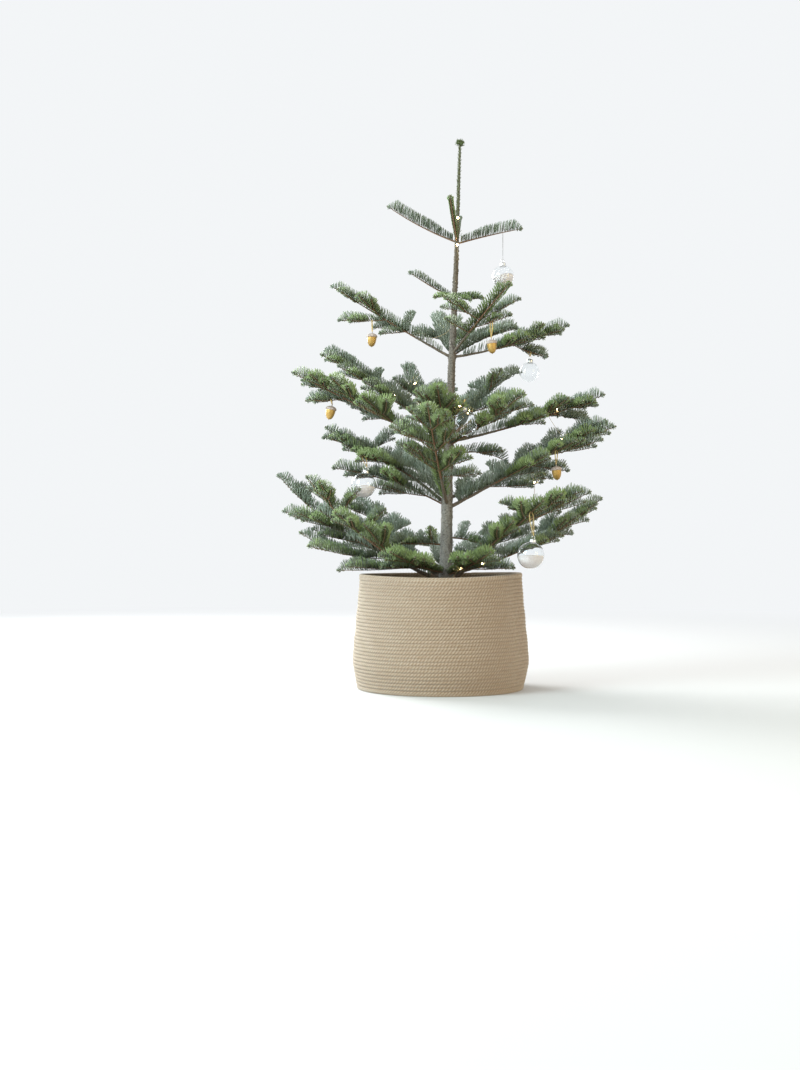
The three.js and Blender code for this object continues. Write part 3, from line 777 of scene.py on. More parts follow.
# Each hangs on a limb's shoot at a place along it, and its middle is the drop below. Seen from the front, no
# needle covers a ball's open part, which is a share of its radius and starts at a height on it.
glassBalls = [
    {"on": ("top_right", "main", 0.71), "drop": 92.5, "radius": 23.5, "tilt": 0, "fill": 0.0,
     "loop": "thread", "open": 1.0, "openFrom": -0.3},
    {"on": ("upper_right", "hanging", 0.52), "drop": 42, "radius": 21.3, "tilt": 3, "fill": None,
     "loop": "ribbon", "open": 1.0, "openFrom": -1.0},
    {"on": ("middle_front", "raised", 0.9), "drop": 45, "radius": 26, "tilt": -4, "fill": None,
     "loop": "ribbon", "open": 0.85, "openFrom": -1.0},
    {"on": ("low_left", "front", 0.9), "drop": 58, "radius": 26, "tilt": 11, "fill": -0.1,
     "loop": "ribbon", "open": 0.3, "openFrom": -1.0},
    {"on": ("foot_right_front", "1right", 0.59), "drop": 84.5, "radius": 27, "tilt": 8, "fill": -0.05,
     "loop": "ribbon", "open": 1.0, "openFrom": -1.0},
]

goldAcorns = [
    {"on": ("upper_left", "level", 0.3), "drop": 34.5, "radius": 12, "tilt": 3, "loopTurn": 0},
    {"on": ("upper_front", "0left", 0.49), "drop": 43.5, "radius": 12, "tilt": -5, "loopTurn": 60},
    {"on": ("middle_left_front", "level", 0.38), "drop": 19.5, "radius": 12, "tilt": 12, "loopTurn": 0},
    {"on": ("low_right", "1right", 0.51), "drop": 38.5, "radius": 12, "tilt": -4, "loopTurn": 0},
]


# The place on its stem that a hanging hangs from, the way beside the stem, and the hanging's own middle.
def hangPoint(hanging):
    limb, place, t = hanging["on"]
    points = shootAt[limb, place]["points"]
    stem = placeOn(points, t)
    return stem, framesOn(points, t)[1], stem - up * hanging["drop"]


# The wire's way up: a shoot and the place along it, or the trunk with a height and an azimuth, and whether a
# bead sits there.
lightStops = [
    ("trunk", 214, 250, 0), ("foot_front_right", "main", 0.29, 1), ("foot_front_right", "0left", 0.4, 0),
    ("foot_front_right", "0left", 0.76, 1), ("foot_right_front", "main", 0.36, 0),
    ("foot_right_front", "main", 0.5, 0), ("foot_right_front", "main", 0.66, 1),
    ("foot_right_front", "1left", 0.4, 0), ("foot_right_back", "main", 0.5, 1),
    ("low_right_back", "0right", 0.89, 1), ("low_right", "main", 0.5, 0), ("low_right", "front", 0.45, 1),
    ("middle_right", "1right", 0.3, 0), ("middle_right", "main", 0.71, 1),
    ("middle_right", "1left", 0.4, 0), ("middle_right", "main", 0.42, 1),
    ("middle_right_back", "0left", 0.9, 0), ("middle_right_back", "0left", 0.4, 1),
    ("middle_right_back", "main", 0.29, 1), ("middle_front", "0left", 0.9, 1),
    ("middle_front", "main", 0.45, 0), ("middle_front", "0right", 0.9, 0), ("middle_back", "main", 0.78, 1),
    ("middle_back", "main", 0.5, 1), ("middle_left_back", "0right", 0.4, 0),
    ("middle_left_back", "main", 0.46, 1), ("middle_left_back", "main", 0.2, 0), ("trunk", 560, 150, 0),
    ("trunk", 610, 10, 0), ("trunk", 660, 230, 0), ("upper_back", "main", 0.2, 0),
    ("upper_back", "main", 0.6, 1), ("upper_back", "0left", 0.5, 0), ("upper_left", "0right", 0.4, 1),
    ("upper_left", "main", 0.2, 0), ("trunk", 745, 200, 0), ("trunk", 795, 20, 0), ("trunk", 845, 170, 0),
    ("trunk", 893, 350, 0), ("trunk", 928, 272, 1), ("trunk", 952, 80, 0), ("trunk", 972, 160, 0),
    ("trunk", 987, 290, 1),
]

wireRoom = {"overStem": 6, "offTrunk": 2.4}


def stopPlace(stop):
    if stop[0] == "trunk":
        height = float(stop[1])
        return trunkCentre(height) + heading(stop[2], 0) * (trunkRadius(height) + wireRoom["offTrunk"])
    limb, place, t = stop[:3]
    points = shootAt[limb, place]["points"]
    return placeOn(points, t) + framesOn(points, t)[2] * wireRoom["overStem"]


# Needles and buds

needle = {
    "perMillimetre": 1.5,
    "tuft": 5.2,  # they gather a little at every such stretch of the stem
    "tuftShare": 0.75,
    "turnSpread": 0.5,
    "length": 25.5,
    "lengthSpread": 0.06,
    "width": 2.05,
    "thickness": 0.9,
    "bareRoot": 12,  # the bare stretch at a bough's root
    "bareSideRoot": 3,
    "woodShare": 0.62,  # how many of the needles the old wood has kept
    "rootLength": 0.62,  # their length at a shoot's root and at its very end, as a share
    "rootStretch": 60,
    "endLength": 0.34,
    "shortest": 0.5,  # the share of their length on a shoot of no length, and what length adds a whole share
    "shortStretch": 120,
    "fromCentre": 0.5,
    "forward": 0.36,
    "forwardSpread": 0.12,
    "mostForward": 0.95,
    "leaveForward": 0.25,
    "kneeShare": 0.5,
    "fan": 0.34,  # how far round the shoot a needle's tip stands, as a share of half a turn
    "fanSpread": 0.14,
    "leaveFan": 0.64,
    "tipLeaveFan": 0.2,
    "topFan": 0.1,  # the top whorl's needles all stand up
    "topHeight": 900,
    "shortOn": {"top_front": 0.55, "top_back": 0.45, "upper_twig_left": 0.72, "upper_front": 0.86,
                "upper_left": 0.9, "middle_left_back": 0.92},
    "limbTones": (0.34, 0.7),  # where a limb's needles turn a tone lighter, and a side shoot's
    "shootTones": (0.0, 0.4),
    "paleShare": 0.35,  # a share of the needles, and all those of every so manieth shoot, are a tone lighter
    "paleShoot": 3,
    "shadeBehind": 100,  # shoots that end further back than this are a tone darker, as painted shade on the back of the tree
    "tipStretch": 20,
    "tipForward": 0.5,
    "tipFan": 0.62,
    "knobCount": 10,  # short needles all round the buds at a shoot's very end
    "knobLength": 6.5,
    "knobDepth": 5,
    "knobForward": (0.35, 0.95),
    "twist": 0.45,
    "rings": [(0.34, 1.0), (0.9, 0.9)],  # two places along a needle, and its width there as a share
    "clearance": 3.0,
    "otherReach": 90,  # limbs further off than this can't be touched
    "beadRoom": 7.5,
    "beadAhead": 4,
    "loopBehind": 4,  # no needle hides the loop that a hanging hangs on
    "loopAhead": 34,
    "loopBeside": 4.5,
    "loopAbove": 5,
    "mostInPiece": 16000,
}

# A colour for the upper and the under side of each kind of spray.
needleTones = {
    "Shade": ((0.090, 0.120, 0.038), (0.126, 0.152, 0.104)),
    "Deep": ((0.124, 0.169, 0.053), (0.169, 0.202, 0.145)),
    "Full": ((0.164, 0.224, 0.072), (0.217, 0.255, 0.194)),
    "Light": ((0.210, 0.282, 0.101), (0.265, 0.307, 0.245)),
    "Tip": ((0.252, 0.328, 0.134), (0.311, 0.355, 0.291)),
}

needleFootShade = (0.070, 0.082, 0.030)  # painted shade: every needle is darker next to its stem, where the shoot shades it, partly its own darker base


# Where the needles stand along one shoot: evenly, drawn together by a sine of the place into loose tufts. The
# last ones are the knob of short needles at its end.
def needlePlaces(shoot, bare, rng):
    length = shoot["length"]
    count = int((length - bare) * needle["perMillimetre"])
    at = bare + (np.arange(count) + rng.random(count)) / needle["perMillimetre"]
    at = at - needle["tuftShare"] * needle["tuft"] / (2 * np.pi) * np.sin(2 * np.pi * at / needle["tuft"])
    t = np.minimum(at / length, 1)
    keep = (t > shoot["wood"]) | (rng.random(count) < needle["woodShare"])
    return np.concatenate([at[keep], length - needle["knobDepth"] * rng.random(needle["knobCount"])])


# The needles' lengths: less at a shoot's root and end, on short shoots and on some limbs.
# They are least in the knob.
def needleReach(shoot, starting, ending, knob, rng):
    shorter = (1 - needle["rootLength"]) * starting
    reach = needle["length"] * (1 - shorter - (1 - needle["endLength"]) * ending)
    longest = needle["length"] * (needle["shortest"] + shoot["length"] / needle["shortStretch"])
    reach = np.minimum(reach, longest) * needle["shortOn"].get(shoot["limb"], 1)
    reach = np.where(knob, needle["knobLength"], reach)
    return reach * (1 + needle["lengthSpread"] * (2 * rng.random(len(knob)) - 1))


# Each needle leaves the stem at a golden-angle turn, bows out and curves up: its line is a quadratic curve
# from the stem through a knee to its tip.
def needlesOn(shoot):
    rng = np.random.default_rng(shoot["seed"])
    bare = needle["bareRoot"] if shoot["wood"] else needle["bareSideRoot"]
    length = shoot["length"]
    at = needlePlaces(shoot, bare, rng)
    count = len(at)
    knob = np.arange(count) >= count - needle["knobCount"]
    t = np.minimum(at / length, 1)
    spin = np.arange(count) * goldenAngle + needle["turnSpread"] * rng.random(count)
    turn = np.mod(spin, 2 * np.pi) - np.pi
    ending = ease(1 - (length - at) / needle["tipStretch"])
    starting = 1 - ease((at - bare) / needle["rootStretch"])
    reach = needleReach(shoot, starting, ending, knob, rng)
    centre = placeOn(shoot["points"], t)
    along, side, over = framesOn(shoot["points"], np.minimum(t, nearEnd))
    middleFan = needle["topFan"] if shoot["points"][0][2] > needle["topHeight"] else needle["fan"]
    fan = middleFan + (needle["tipFan"] - middleFan) * ending
    leaveAngle = turn * np.where(knob, 1, needle["leaveFan"] + needle["tipLeaveFan"] * ending)
    tipAngle = turn * np.where(knob, 1, fan) + needle["fanSpread"] * (rng.random(count) - 0.5)
    forward = needle["forward"] + (needle["tipForward"] - needle["forward"]) * ending
    knobForward = rng.uniform(*needle["knobForward"], count)
    forward = np.where(knob, knobForward, forward + needle["forwardSpread"] * (rng.random(count) - 0.5))
    forward = np.clip(forward, 0, needle["mostForward"])

    def outward(angle):
        return np.sin(angle)[:, None] * side + np.cos(angle)[:, None] * over

    def leaning(angle, share):
        return share[:, None] * along + np.sqrt(1 - share**2)[:, None] * outward(angle)

    start = centre + outward(leaveAngle) * needle["fromCentre"]
    leaving = leaning(leaveAngle, np.full(count, needle["leaveForward"]))
    knee = start + leaving * reach[:, None] * needle["kneeShare"]
    tip = centre + leaning(tipAngle, forward) * reach[:, None]
    twist = needle["twist"] * (2 * rng.random(count) - 1)
    return start, knee, tip, along, twist, needleTone(shoot, t, rng)


# Paler towards the tip of a limb and of a shoot, and on finer shoots: partly fresher growth, partly painted
# shade on the inner needles. Shoots at the back are a tone darker, as painted shade.
def needleTone(shoot, t, rng):
    steps = needle["shootTones"] if shoot["order"] else needle["limbTones"]
    tone = np.searchsorted(steps, t, "right") + shoot["order"] // 2
    tone = tone + (rng.random(len(t)) < needle["paleShare"]) + (shoot["seed"] % needle["paleShoot"] == 0)
    return np.clip(tone - (shoot["points"][-1][1] > needle["shadeBehind"]), 0, len(needleTones) - 1)


# A needle's corners: its root, the left edge, the keel and the right edge on each of two rings, and its tip.
needleSides = np.array([[0, 2, 1], [0, 3, 2], [0, 1, 3]])
needleMiddle = np.array([[1, 2, 5, 4], [2, 3, 6, 5], [3, 1, 4, 6]])
needleEnd = np.array([[7, 4, 5], [7, 5, 6], [7, 6, 4]])


# The corners of many needles at once: ring centres at two places on the curve, set out by the width across
# and by the thickness under the leaf. The slots are the upper side, the under side and the foot, whose darker
# colour is painted shade next to the stem.
def needleBodies(start, knee, tip, along, twist, width, thickness):
    rings = []
    for s, share in needle["rings"]:
        place = (1 - s) ** 2 * start + 2 * s * (1 - s) * knee + s**2 * tip
        way = unit(2 * (1 - s) * (knee - start) + 2 * s * (tip - knee))
        flat = unit(np.cross(way, along))
        under = np.cross(way, flat)
        turnFlat = np.cos(twist)[:, None] * flat + np.sin(twist)[:, None] * under
        turnUnder = np.cross(way, turnFlat)
        half = 0.5 * width * share
        rings += [place + half * turnFlat, place + thickness * share * turnUnder, place - half * turnFlat]
    slots = np.concatenate([np.full(3 * len(start), 2), np.tile([1, 1, 0], 2 * len(start))])
    return *repeated(np.stack([start, *rings, tip], 1), (needleSides, needleMiddle, needleEnd)), slots


# Needles whose tip or knee comes too near to another limb's stems are left out.
def clearOfLimbs(shoot, knee, tip):
    others = taken["owners"] != shoot["limb"]
    starts, ways = taken["starts"][others], taken["ends"][others] - taken["starts"][others]
    room = needle["clearance"] + taken["radii"][others]
    away = np.linalg.norm(starts - shoot["points"].mean(0), axis=1)
    near = away < shoot["length"] / 2 + needle["otherReach"]
    if not near.any():
        return np.ones(len(tip), bool)
    starts, ways, room = starts[near], ways[near], room[near]
    clear = np.ones(len(tip), bool)
    for spot in (knee, tip):
        between = spot[:, None] - starts[None]
        t = np.clip((between * ways).sum(-1) / (ways * ways).sum(-1), 0, 1)
        clear &= (np.linalg.norm(between - t[..., None] * ways, axis=-1) > room).all(1)
    return clear


# Places across and up as the photo's viewpoint sees them, with nearer ones spread wider.
def asSeen(spots):
    across, away, height = photoView["at"]
    seen = np.stack([spots[..., 0] - across, spots[..., 2] - height], -1)
    return seen * (-away / (spots[..., 1] - away))[..., None]


def hidesBall(ball, spot):
    centre = hangPoint(ball)[2]
    beside = asSeen(spot) - asSeen(centre)
    within = np.linalg.norm(beside, axis=1) < ball["open"] * ball["radius"]
    return within & (beside[:, 1] > ball["openFrom"] * ball["radius"]) & (spot[:, 1] < centre[1])


# Nor do any pierce a ball or an acorn, hide a loop or a ball's open part, or cover a bead.
def clearOfHangings(knee, tip):
    clear = np.ones(len(tip), bool)
    spots = (knee, (knee + tip) / 2, tip)
    for hanging in glassBalls + goldAcorns:
        stem, centre = hangPoint(hanging)[::2]
        for spot in spots:
            clear &= np.linalg.norm(spot - centre, axis=1) > hanging["radius"] + needle["clearance"]
            x, y, z = spot.T
            ahead = (y < stem[1] + needle["loopBehind"]) & (y > stem[1] - needle["loopAhead"])
            level = (z < stem[2] + needle["loopAbove"]) & (z > centre[2])
            clear &= ~(ahead & (np.abs(x - stem[0]) < needle["loopBeside"]) & level)
    for ball in glassBalls:
        for spot in spots:
            clear &= ~hidesBall(ball, spot)
    for place in (stopPlace(stop) for stop in lightStops if stop[-1]):
        for spot in (knee, tip):
            clear &= np.linalg.norm(spot - place + [0, needle["beadAhead"], 0], axis=1) > needle["beadRoom"]
    return clear


def needleFinish(name, colour):
    return startMaterial(name, {"Roughness": 0.5, "Base Color": colour, "Specular IOR Level": 0.35})[0]


leader = {
    "seed": 5,
    "foot": 944,
    "perMillimetre": 0.9,
    "length": 5.0,
    "lengthLeast": 0.7,
    "lengthRange": 0.5,
    "forward": 0.93,
    "forwardSpread": 0.1,
    "mostForward": 0.985,
    "whorlStretch": 30,  # just over the top whorl they are longer and lean out
    "whorlLonger": 0.9,
    "whorlOutward": 0.2,
    "sunk": 0.7,
    "kneeShare": 0.5,
    "kneeOut": 0.22,
    "twist": 0.5,
    "width": 1.4,
    "thickness": 0.8,
    "crownNeedles": 90,
    "crownLength": 10,
    "crownLengthLeast": 0.85,
    "crownLengthRange": 0.2,
    "crownDepth": 7,
    "crownLift": 6,
    "crownForward": (0.3, 0.95),
}


# Short needles pressed to the leader, all round it and pointing up, longer ones just over the top whorl,
# and a rosette of them round the buds at the tip.
def leaderNeedles():
    rng = np.random.default_rng(leader["seed"])
    span = trunk["topHeight"] - leader["foot"]
    count = int(span * leader["perMillimetre"])
    stemHeight = leader["foot"] + span * (np.arange(count) + rng.random(count)) / count
    crownDepth = leader["crownDepth"] * rng.random(leader["crownNeedles"])
    height = np.concatenate([stemHeight, trunk["topHeight"] + leader["crownLift"] - crownDepth])
    crown = np.arange(len(height)) >= count
    count = len(height)
    first = 1 - ease((height - leader["foot"]) / leader["whorlStretch"])
    out = aroundAxis(1, np.arange(count) * goldenAngle, 0)
    start = trunkCentre(height) + out * (trunkRadius(height) * leader["sunk"])[:, None]
    forward = leader["forward"] - leader["whorlOutward"] * first - leader["forwardSpread"] * rng.random(count)
    forward = np.clip(forward, 0, leader["mostForward"])
    forward = np.where(crown, rng.uniform(*leader["crownForward"], count), forward)
    longer = 1 + leader["whorlLonger"] * first
    reach = leader["length"] * (leader["lengthLeast"] + leader["lengthRange"] * rng.random(count)) * longer
    crownShare = leader["crownLengthLeast"] + leader["crownLengthRange"] * rng.random(count)
    reach = np.where(crown, leader["crownLength"] * crownShare, reach)
    way = forward[:, None] * up + np.sqrt(1 - forward**2)[:, None] * out
    tip = start + way * reach[:, None]
    knee = start + (leader["kneeShare"] * way + leader["kneeOut"] * out) * reach[:, None]
    return start, knee, tip, np.tile(up, (count, 1)), leader["twist"] * (rng.random(count) - 0.5)


buds = {
    "lengths": {"end": 5.6, "side": 4.4},
    "radius": 2.1,
    "profile": [(0, 0), (0.06, 0.6), (0.25, 0.95), (0.5, 1), (0.75, 0.75), (0.92, 0.4), (1, 0)],
    "sides": 8,
    "sunk": 0.5,
    "sideLean": 0.75,
    "sideBack": 1.2,
    "colours": ((0.080, 0.078, 0.038), (0.165, 0.155, 0.080)),
    "leaderCount": 8,
    "leaderLength": 10.5,
    "leaderRadius": 3.6,
    "leaderLean": 0.62,
    "leaderDrop": 2.0,
    "leaderSunk": 1.5,
}


# The profile's rows are shares of the length and of the radius.
def budBody(length, radius):
    share, width = np.array(buds["profile"]).T
    return turnedBody(radius * width, length * share - buds["sunk"], buds["sides"])


# One bud ends each shoot, with a smaller one on either side of it on all but the finest shoots.
def budsOnShoots():
    origins, frames = {"end": [], "side": []}, {"end": [], "side": []}
    for shoot in shoots:
        tip = shoot["points"][-1]
        along, side, over = framesOn(shoot["points"], nearEnd)
        origins["end"].append(tip)
        frames["end"].append([side, over, along])
        hands = (1, -1) if shoot["order"] < 2 else ()
        for hand in hands:
            way = unit(along + hand * buds["sideLean"] * side)
            beside = unit(np.cross(over, way))
            origins["side"].append(tip - along * buds["sideBack"])
            frames["side"].append([beside, np.cross(way, beside), way])
    return [
        copiesOf(budBody(length, buds["radius"]), np.array(origins[kind]), np.array(frames[kind]))
        for kind, length in buds["lengths"].items()
    ]


# The cluster at the very tip: one upright bud in a ring of leaning ones.
def leaderBuds():
    top = trunkCentre(np.array(trunk["topHeight"] + leader["crownLift"] - buds["leaderDrop"]))
    count = buds["leaderCount"]
    turn = 2 * np.pi * np.arange(count) / (count - 1)
    lean = np.where(np.arange(count) == count - 1, 0, buds["leaderLean"])
    ways = unit(aroundAxis(lean, turn, 1))
    beside = unit(np.cross(back, ways))
    frames = np.stack([beside, np.cross(ways, beside), ways], 1)
    body = budBody(buds["leaderLength"], buds["leaderRadius"])
    return copiesOf(body, top - ways * buds["leaderSunk"], frames)


def makeNeedles():
    # the foot's finish is painted shade next to the stem, on every needle and on the leader
    foot = needleFinish("needleFootShade", needleFootShade)
    rows = []
    for shoot in shoots:
        parts = needlesOn(shoot)
        knee, tip = parts[1:3]
        clear = clearOfLimbs(shoot, knee, tip) & clearOfHangings(knee, tip)
        rows.append([part[clear] for part in parts])
    *lines, tone = (np.concatenate(parts) for parts in zip(*rows))
    for index, (toneName, colours) in enumerate(needleTones.items()):
        sides = zip(("Top", "Under"), colours)
        finishes = [needleFinish(f"needle{toneName}{side}", colour) for side, colour in sides]
        mine = np.flatnonzero(tone == index)
        for part, chosen in enumerate(np.array_split(mine, -(-len(mine) // needle["mostInPiece"]))):
            body = needleBodies(*(line[chosen] for line in lines), needle["width"], needle["thickness"])
            addPiece(meshFrom(f"needles{toneName}{part + 1}", *body), [*finishes, foot])
    shade = bpy.data.materials["needleShadeTop"]
    body = needleBodies(*leaderNeedles(), leader["width"], leader["thickness"])
    addPiece(meshFrom("needlesLeader", *body), [shade, shade, foot])
    print("needles made:", len(tone))


makeNeedles()
budMesh = meshFrom("buds", *joined([*budsOnShoots(), leaderBuds()]))
budFinish = mottledFinish("budScales", buds["colours"], scale=900, sockets={"Roughness": 0.5})
addPiece(budMesh, [budFinish])


# The basket: one twisted rope that lies in a flat coil and then climbs as the wall

rope = {
    "thickness": 7.7,
    "strands": 3,
    "cornersAStrand": 4,
    "lay": 20.5,  # the length in which a strand goes once round the rope
    "stepsALay": 10,
    "strandRound": (0.66, 0.93, 1.0, 0.93),  # the radius across one strand from its furrow, as a share
    "tall": 1.16,  # the rows press on each other, and a rope is taller than it is wide
    "rows": 33,
    "lastTurn": 0.93,
    "wallPieces": 3,
    "radii": [(0, 173), (56, 184), (130, 178), (200, 171), (236.4, 169)],  # heights and outer radii
    "height": 238,
    "frontDip": 5,
    "rightRise": 3,
    "dentAzimuth": -27,  # a soft upright fold at the right of the front
    "dentDepth": 3.6,
    "dentWidth": 9,
    "lipOffset": 15,  # beside the fold the wall bulges, by a share of its depth
    "lipShare": 0.5,
    "dentFoot": 0.35,  # the share of the fold that is left at the foot
    "dentFade": 150,
    "waviness": 1.1,
    "slowWaves": ((3, 0.011, 1.0), (5, -0.017, 0.6)),  # waves round the wall, how they lean, and their share
    "rowWaves": (2, 46, 0.35),  # quicker ones: waves round, the height of one wave, and their share
    "waveStart": 40,
    "coilGap": 7.4,
    "coilStart": 0.6,
    "coilInner": 0.0004,
    "coilCornersAStrand": 2,
    "coilCoarser": 1.6,
    "colours": ((0.315, 0.226, 0.142), (0.45, 0.37, 0.28)),
    "strandScale": 1.6,
    "strandStretch": (55, 9, 1),
    # painted shade in the furrows between strands, darker as well as redder than the strands
    "furrowShadeColour": (0.22, 0.125, 0.062),
    "furrowShadeWidth": 0.3,
    "darkFibre": 0.62,
    "fibreScale": 2.2,
    "fibreStretch": (60, 60, 1),
}


# The wall's outer radius at a height, on a smooth curve through the measured ones (Catmull-Rom).
def wallRadius(height):
    heights, radii = (np.array(values, float) for values in zip(*rope["radii"]))
    heightsOut = np.concatenate([[2 * heights[0] - heights[1]], heights, [2 * heights[-1] - heights[-2]]])
    radiiOut = np.concatenate([[2 * radii[0] - radii[1]], radii, [2 * radii[-1] - radii[-2]]])
    slopes = (radiiOut[2:] - radiiOut[:-2]) / (heightsOut[2:] - heightsOut[:-2])
    step = np.clip(np.searchsorted(heights, height) - 1, 0, len(heights) - 2)
    span = heights[step + 1] - heights[step]
    s = np.clip((height - heights[step]) / span, 0, 1)
    start = radii[step] * (1 + 2 * s) * (1 - s) ** 2 + slopes[step] * span * s * (1 - s) ** 2
    return start + radii[step + 1] * s**2 * (3 - 2 * s) - slopes[step + 1] * span * s**2 * (1 - s)


# The soft wall's own unevenness: slow waves round it, and one upright fold that fades downwards.
def wallWave(angle, height):
    slow = sum(
        share * np.sin(around * angle + climb * height + index)
        for index, (around, climb, share) in enumerate(rope["slowWaves"])
    )
    rowAround, rowHeight, rowShare = rope["rowWaves"]
    row = rowShare * np.sin(2 * np.pi * height / rowHeight + rowAround * angle)
    off = np.degrees(np.mod(angle - math.radians(rope["dentAzimuth"]) + np.pi, 2 * np.pi) - np.pi)
    fold = np.exp(-((off / rope["dentWidth"]) ** 2))
    lip = np.exp(-(((off - rope["lipOffset"]) / rope["dentWidth"]) ** 2))
    fade = rope["dentFoot"] + (1 - rope["dentFoot"]) * ease(height / rope["dentFade"])
    return rope["waviness"] * (slow + row) - rope["dentDepth"] * (fold - rope["lipShare"] * lip) * fade


# The rim dips at the front and rises at the right, more and more towards the top.
def rimWave(angle, height):
    front, right = np.maximum(0, -np.sin(angle)) ** 2, np.maximum(0, np.cos(angle)) ** 2
    return (height / rope["height"]) ** 2 * (rope["rightRise"] * right - rope["frontDip"] * front)


# The rope's middle line up the wall: a helix whose first and last turn lie level.
def wallPath(turns):
    half = rope["thickness"] / 2
    pitch = (rope["height"] - rope["thickness"]) / (rope["rows"] - 1)
    angle = 2 * np.pi * turns + np.pi / 2
    height = half + pitch * np.clip(turns - 1, 0, rope["rows"] - 1)
    radius = wallRadius(height) - half + wallWave(angle, height) * ease(height / rope["waveStart"])
    return aroundAxis(radius, angle, height + rimWave(angle, height))


# Its middle line in the base: a flat coil, a gap wider with every turn.
def basePath(turns):
    angle = 2 * np.pi * turns + np.pi / 2
    return aroundAxis(rope["coilGap"] * (turns + rope["coilStart"]), angle, rope["thickness"] / 2)


# Strand corners round the rope: a furrow and a rounded back for each strand, the same on every ring. The
# rings turn with the lay, so the strands wind round the rope. Along the rope the map counts metres.
def ropeBody(path, firstTwist, cornersAStrand):
    sides = rope["strands"] * cornersAStrand
    across = np.arange(sides) % cornersAStrand * len(rope["strandRound"]) // cornersAStrand
    radius = rope["thickness"] / 2 * np.array(rope["strandRound"])[across]
    lengths = lengthsAlong(path)
    twist = firstTwist - 2 * np.pi * lengths / rope["lay"]
    corners, groups = tube(path, np.tile(radius, (len(path), 1)), sides, twist=twist, tall=rope["tall"])
    rows, columns = np.meshgrid(np.arange(len(path) - 1), np.arange(sides), indexing="ij")
    u = np.stack([lengths[rows], lengths[rows], lengths[rows + 1], lengths[rows + 1]], -1) * mm
    v = np.stack([columns, columns + 1, columns + 1, columns], -1) / sides
    caps = np.zeros((2 * sides * 3, 2))
    uv = np.concatenate([np.stack([u, v], -1).reshape(-1, 2), caps])
    return corners, groups, uv, twist[-1]


# Jute: fibres run along each strand, some strands are paler, and the furrows between strands are redder and
# darker, the dark a painted shade in the furrows.
# The distance from the furrow is a triangle wave of the map's v, which counts the strands' corners round.
def ropeFinish():
    looks = {"Roughness": 0.9, "Sheen Weight": 0.25, "Sheen Roughness": 0.6}
    material, shader = startMaterial("juteRope", looks)
    strandVector = placeVector(material, rope["strandStretch"], "UV")
    strands = addMottle(strandVector, *rope["colours"], rope["strandScale"], low=0.3, high=0.7)
    nodes = material.node_tree.nodes
    split = feed(nodes.new("ShaderNodeSeparateXYZ"), {"Vector": placeVector(material, source="UV")})
    ridge = nodes.new("ShaderNodeMath")
    ridge.operation = "PINGPONG"
    feed(ridge, {0: split.outputs["Y"], 1: 0.5 / rope["strands"]})
    # the band next to each furrow takes the painted shade colour
    furrow = smoothStep(ridge.outputs["Value"], 0, rope["furrowShadeWidth"] / rope["strands"])
    backs = mixColours(furrow, rope["furrowShadeColour"], strands["Color"])
    darker = tuple(rope["darkFibre"] * value for value in rope["colours"][0])
    fibreVector = placeVector(material, rope["fibreStretch"], "UV")
    fibres = addMottle(fibreVector, darker, backs, rope["fibreScale"], detail=5, low=0.2, high=0.44)
    feed(shader, {"Base Color": fibres["Color"]})
    addBump(shader, fibres["Mask"], strength=0.5, distance=0.4)
    return material


# The base coils from its middle outwards, and the wall is made in pieces of equally many turns.
def makeBasket():
    finish = ropeFinish()
    spacing = rope["lay"] / rope["stepsALay"]
    baseTurns = (rope["radii"][0][1] - 1.5 * rope["thickness"]) / rope["coilGap"] - rope["coilStart"]
    baseLength = math.pi * rope["coilGap"] * baseTurns**2
    coilSteps = int(baseLength / spacing / rope["coilCoarser"])
    turns = baseTurns * np.sqrt(np.linspace(rope["coilInner"], 1, coilSteps))
    *body, uv, twist = ropeBody(basePath(turns), 0.0, rope["coilCornersAStrand"])
    addPiece(meshFrom("basketBase", *body, uv=uv), [finish], ["basket"])
    wallTurns = rope["rows"] + rope["lastTurn"]
    stepsATurn = int(2 * math.pi * rope["radii"][2][1] / spacing)
    for part in range(rope["wallPieces"]):
        first, last = (wallTurns * share / rope["wallPieces"] for share in (part, part + 1))
        turns = np.linspace(first, last, int((last - first) * stepsATurn))
        *body, uv, twist = ropeBody(wallPath(turns), twist, rope["cornersAStrand"])
        addPiece(meshFrom(f"basketWall{part + 1}", *body, uv=uv), [finish], ["basket"])


makeBasket()
print("basket made")


# Potting soil

soil = {
    "edgeHeight": 203.8,
    "topHeight": 208,
    "levelRadius": 24,
    "coneRoom": 12,
    "depth": 12,
    "innerShare": 0.004,
    "rings": 90,
    "sides": 160,
    "edgeRoom": 1.5,
    "lumps": 2.2,
    "lumpWaves": 14,
    "lumpScale": (0.05, 0.035),  # how close the waves are, and how much closer with every sine
    "lumpFade": 0.25,
    "waveShare": 0.4,
    "chips": 900,
    "chipSeed": 23,
    "chipInner": 0.012,
    "chipProfile": [(-0.5, 0), (-0.3, 0.38), (0.05, 0.5), (0.42, 0.3), (0.5, 0)],
    "chipSides": 6,
    "chipSize": (2.5, 7.5),
    "chipWidth": 0.62,
    "chipThickness": 0.36,
    "chipLift": 0.6,
    "chipTilt": 0.5,
    "chipEdgeRoom": 8,
    "chipTrunkRoom": 20,
    "colours": ((0.012, 0.008, 0.005), (0.055, 0.036, 0.022)),
    "chipColours": ((0.06, 0.032, 0.016), (0.19, 0.11, 0.06)),
}


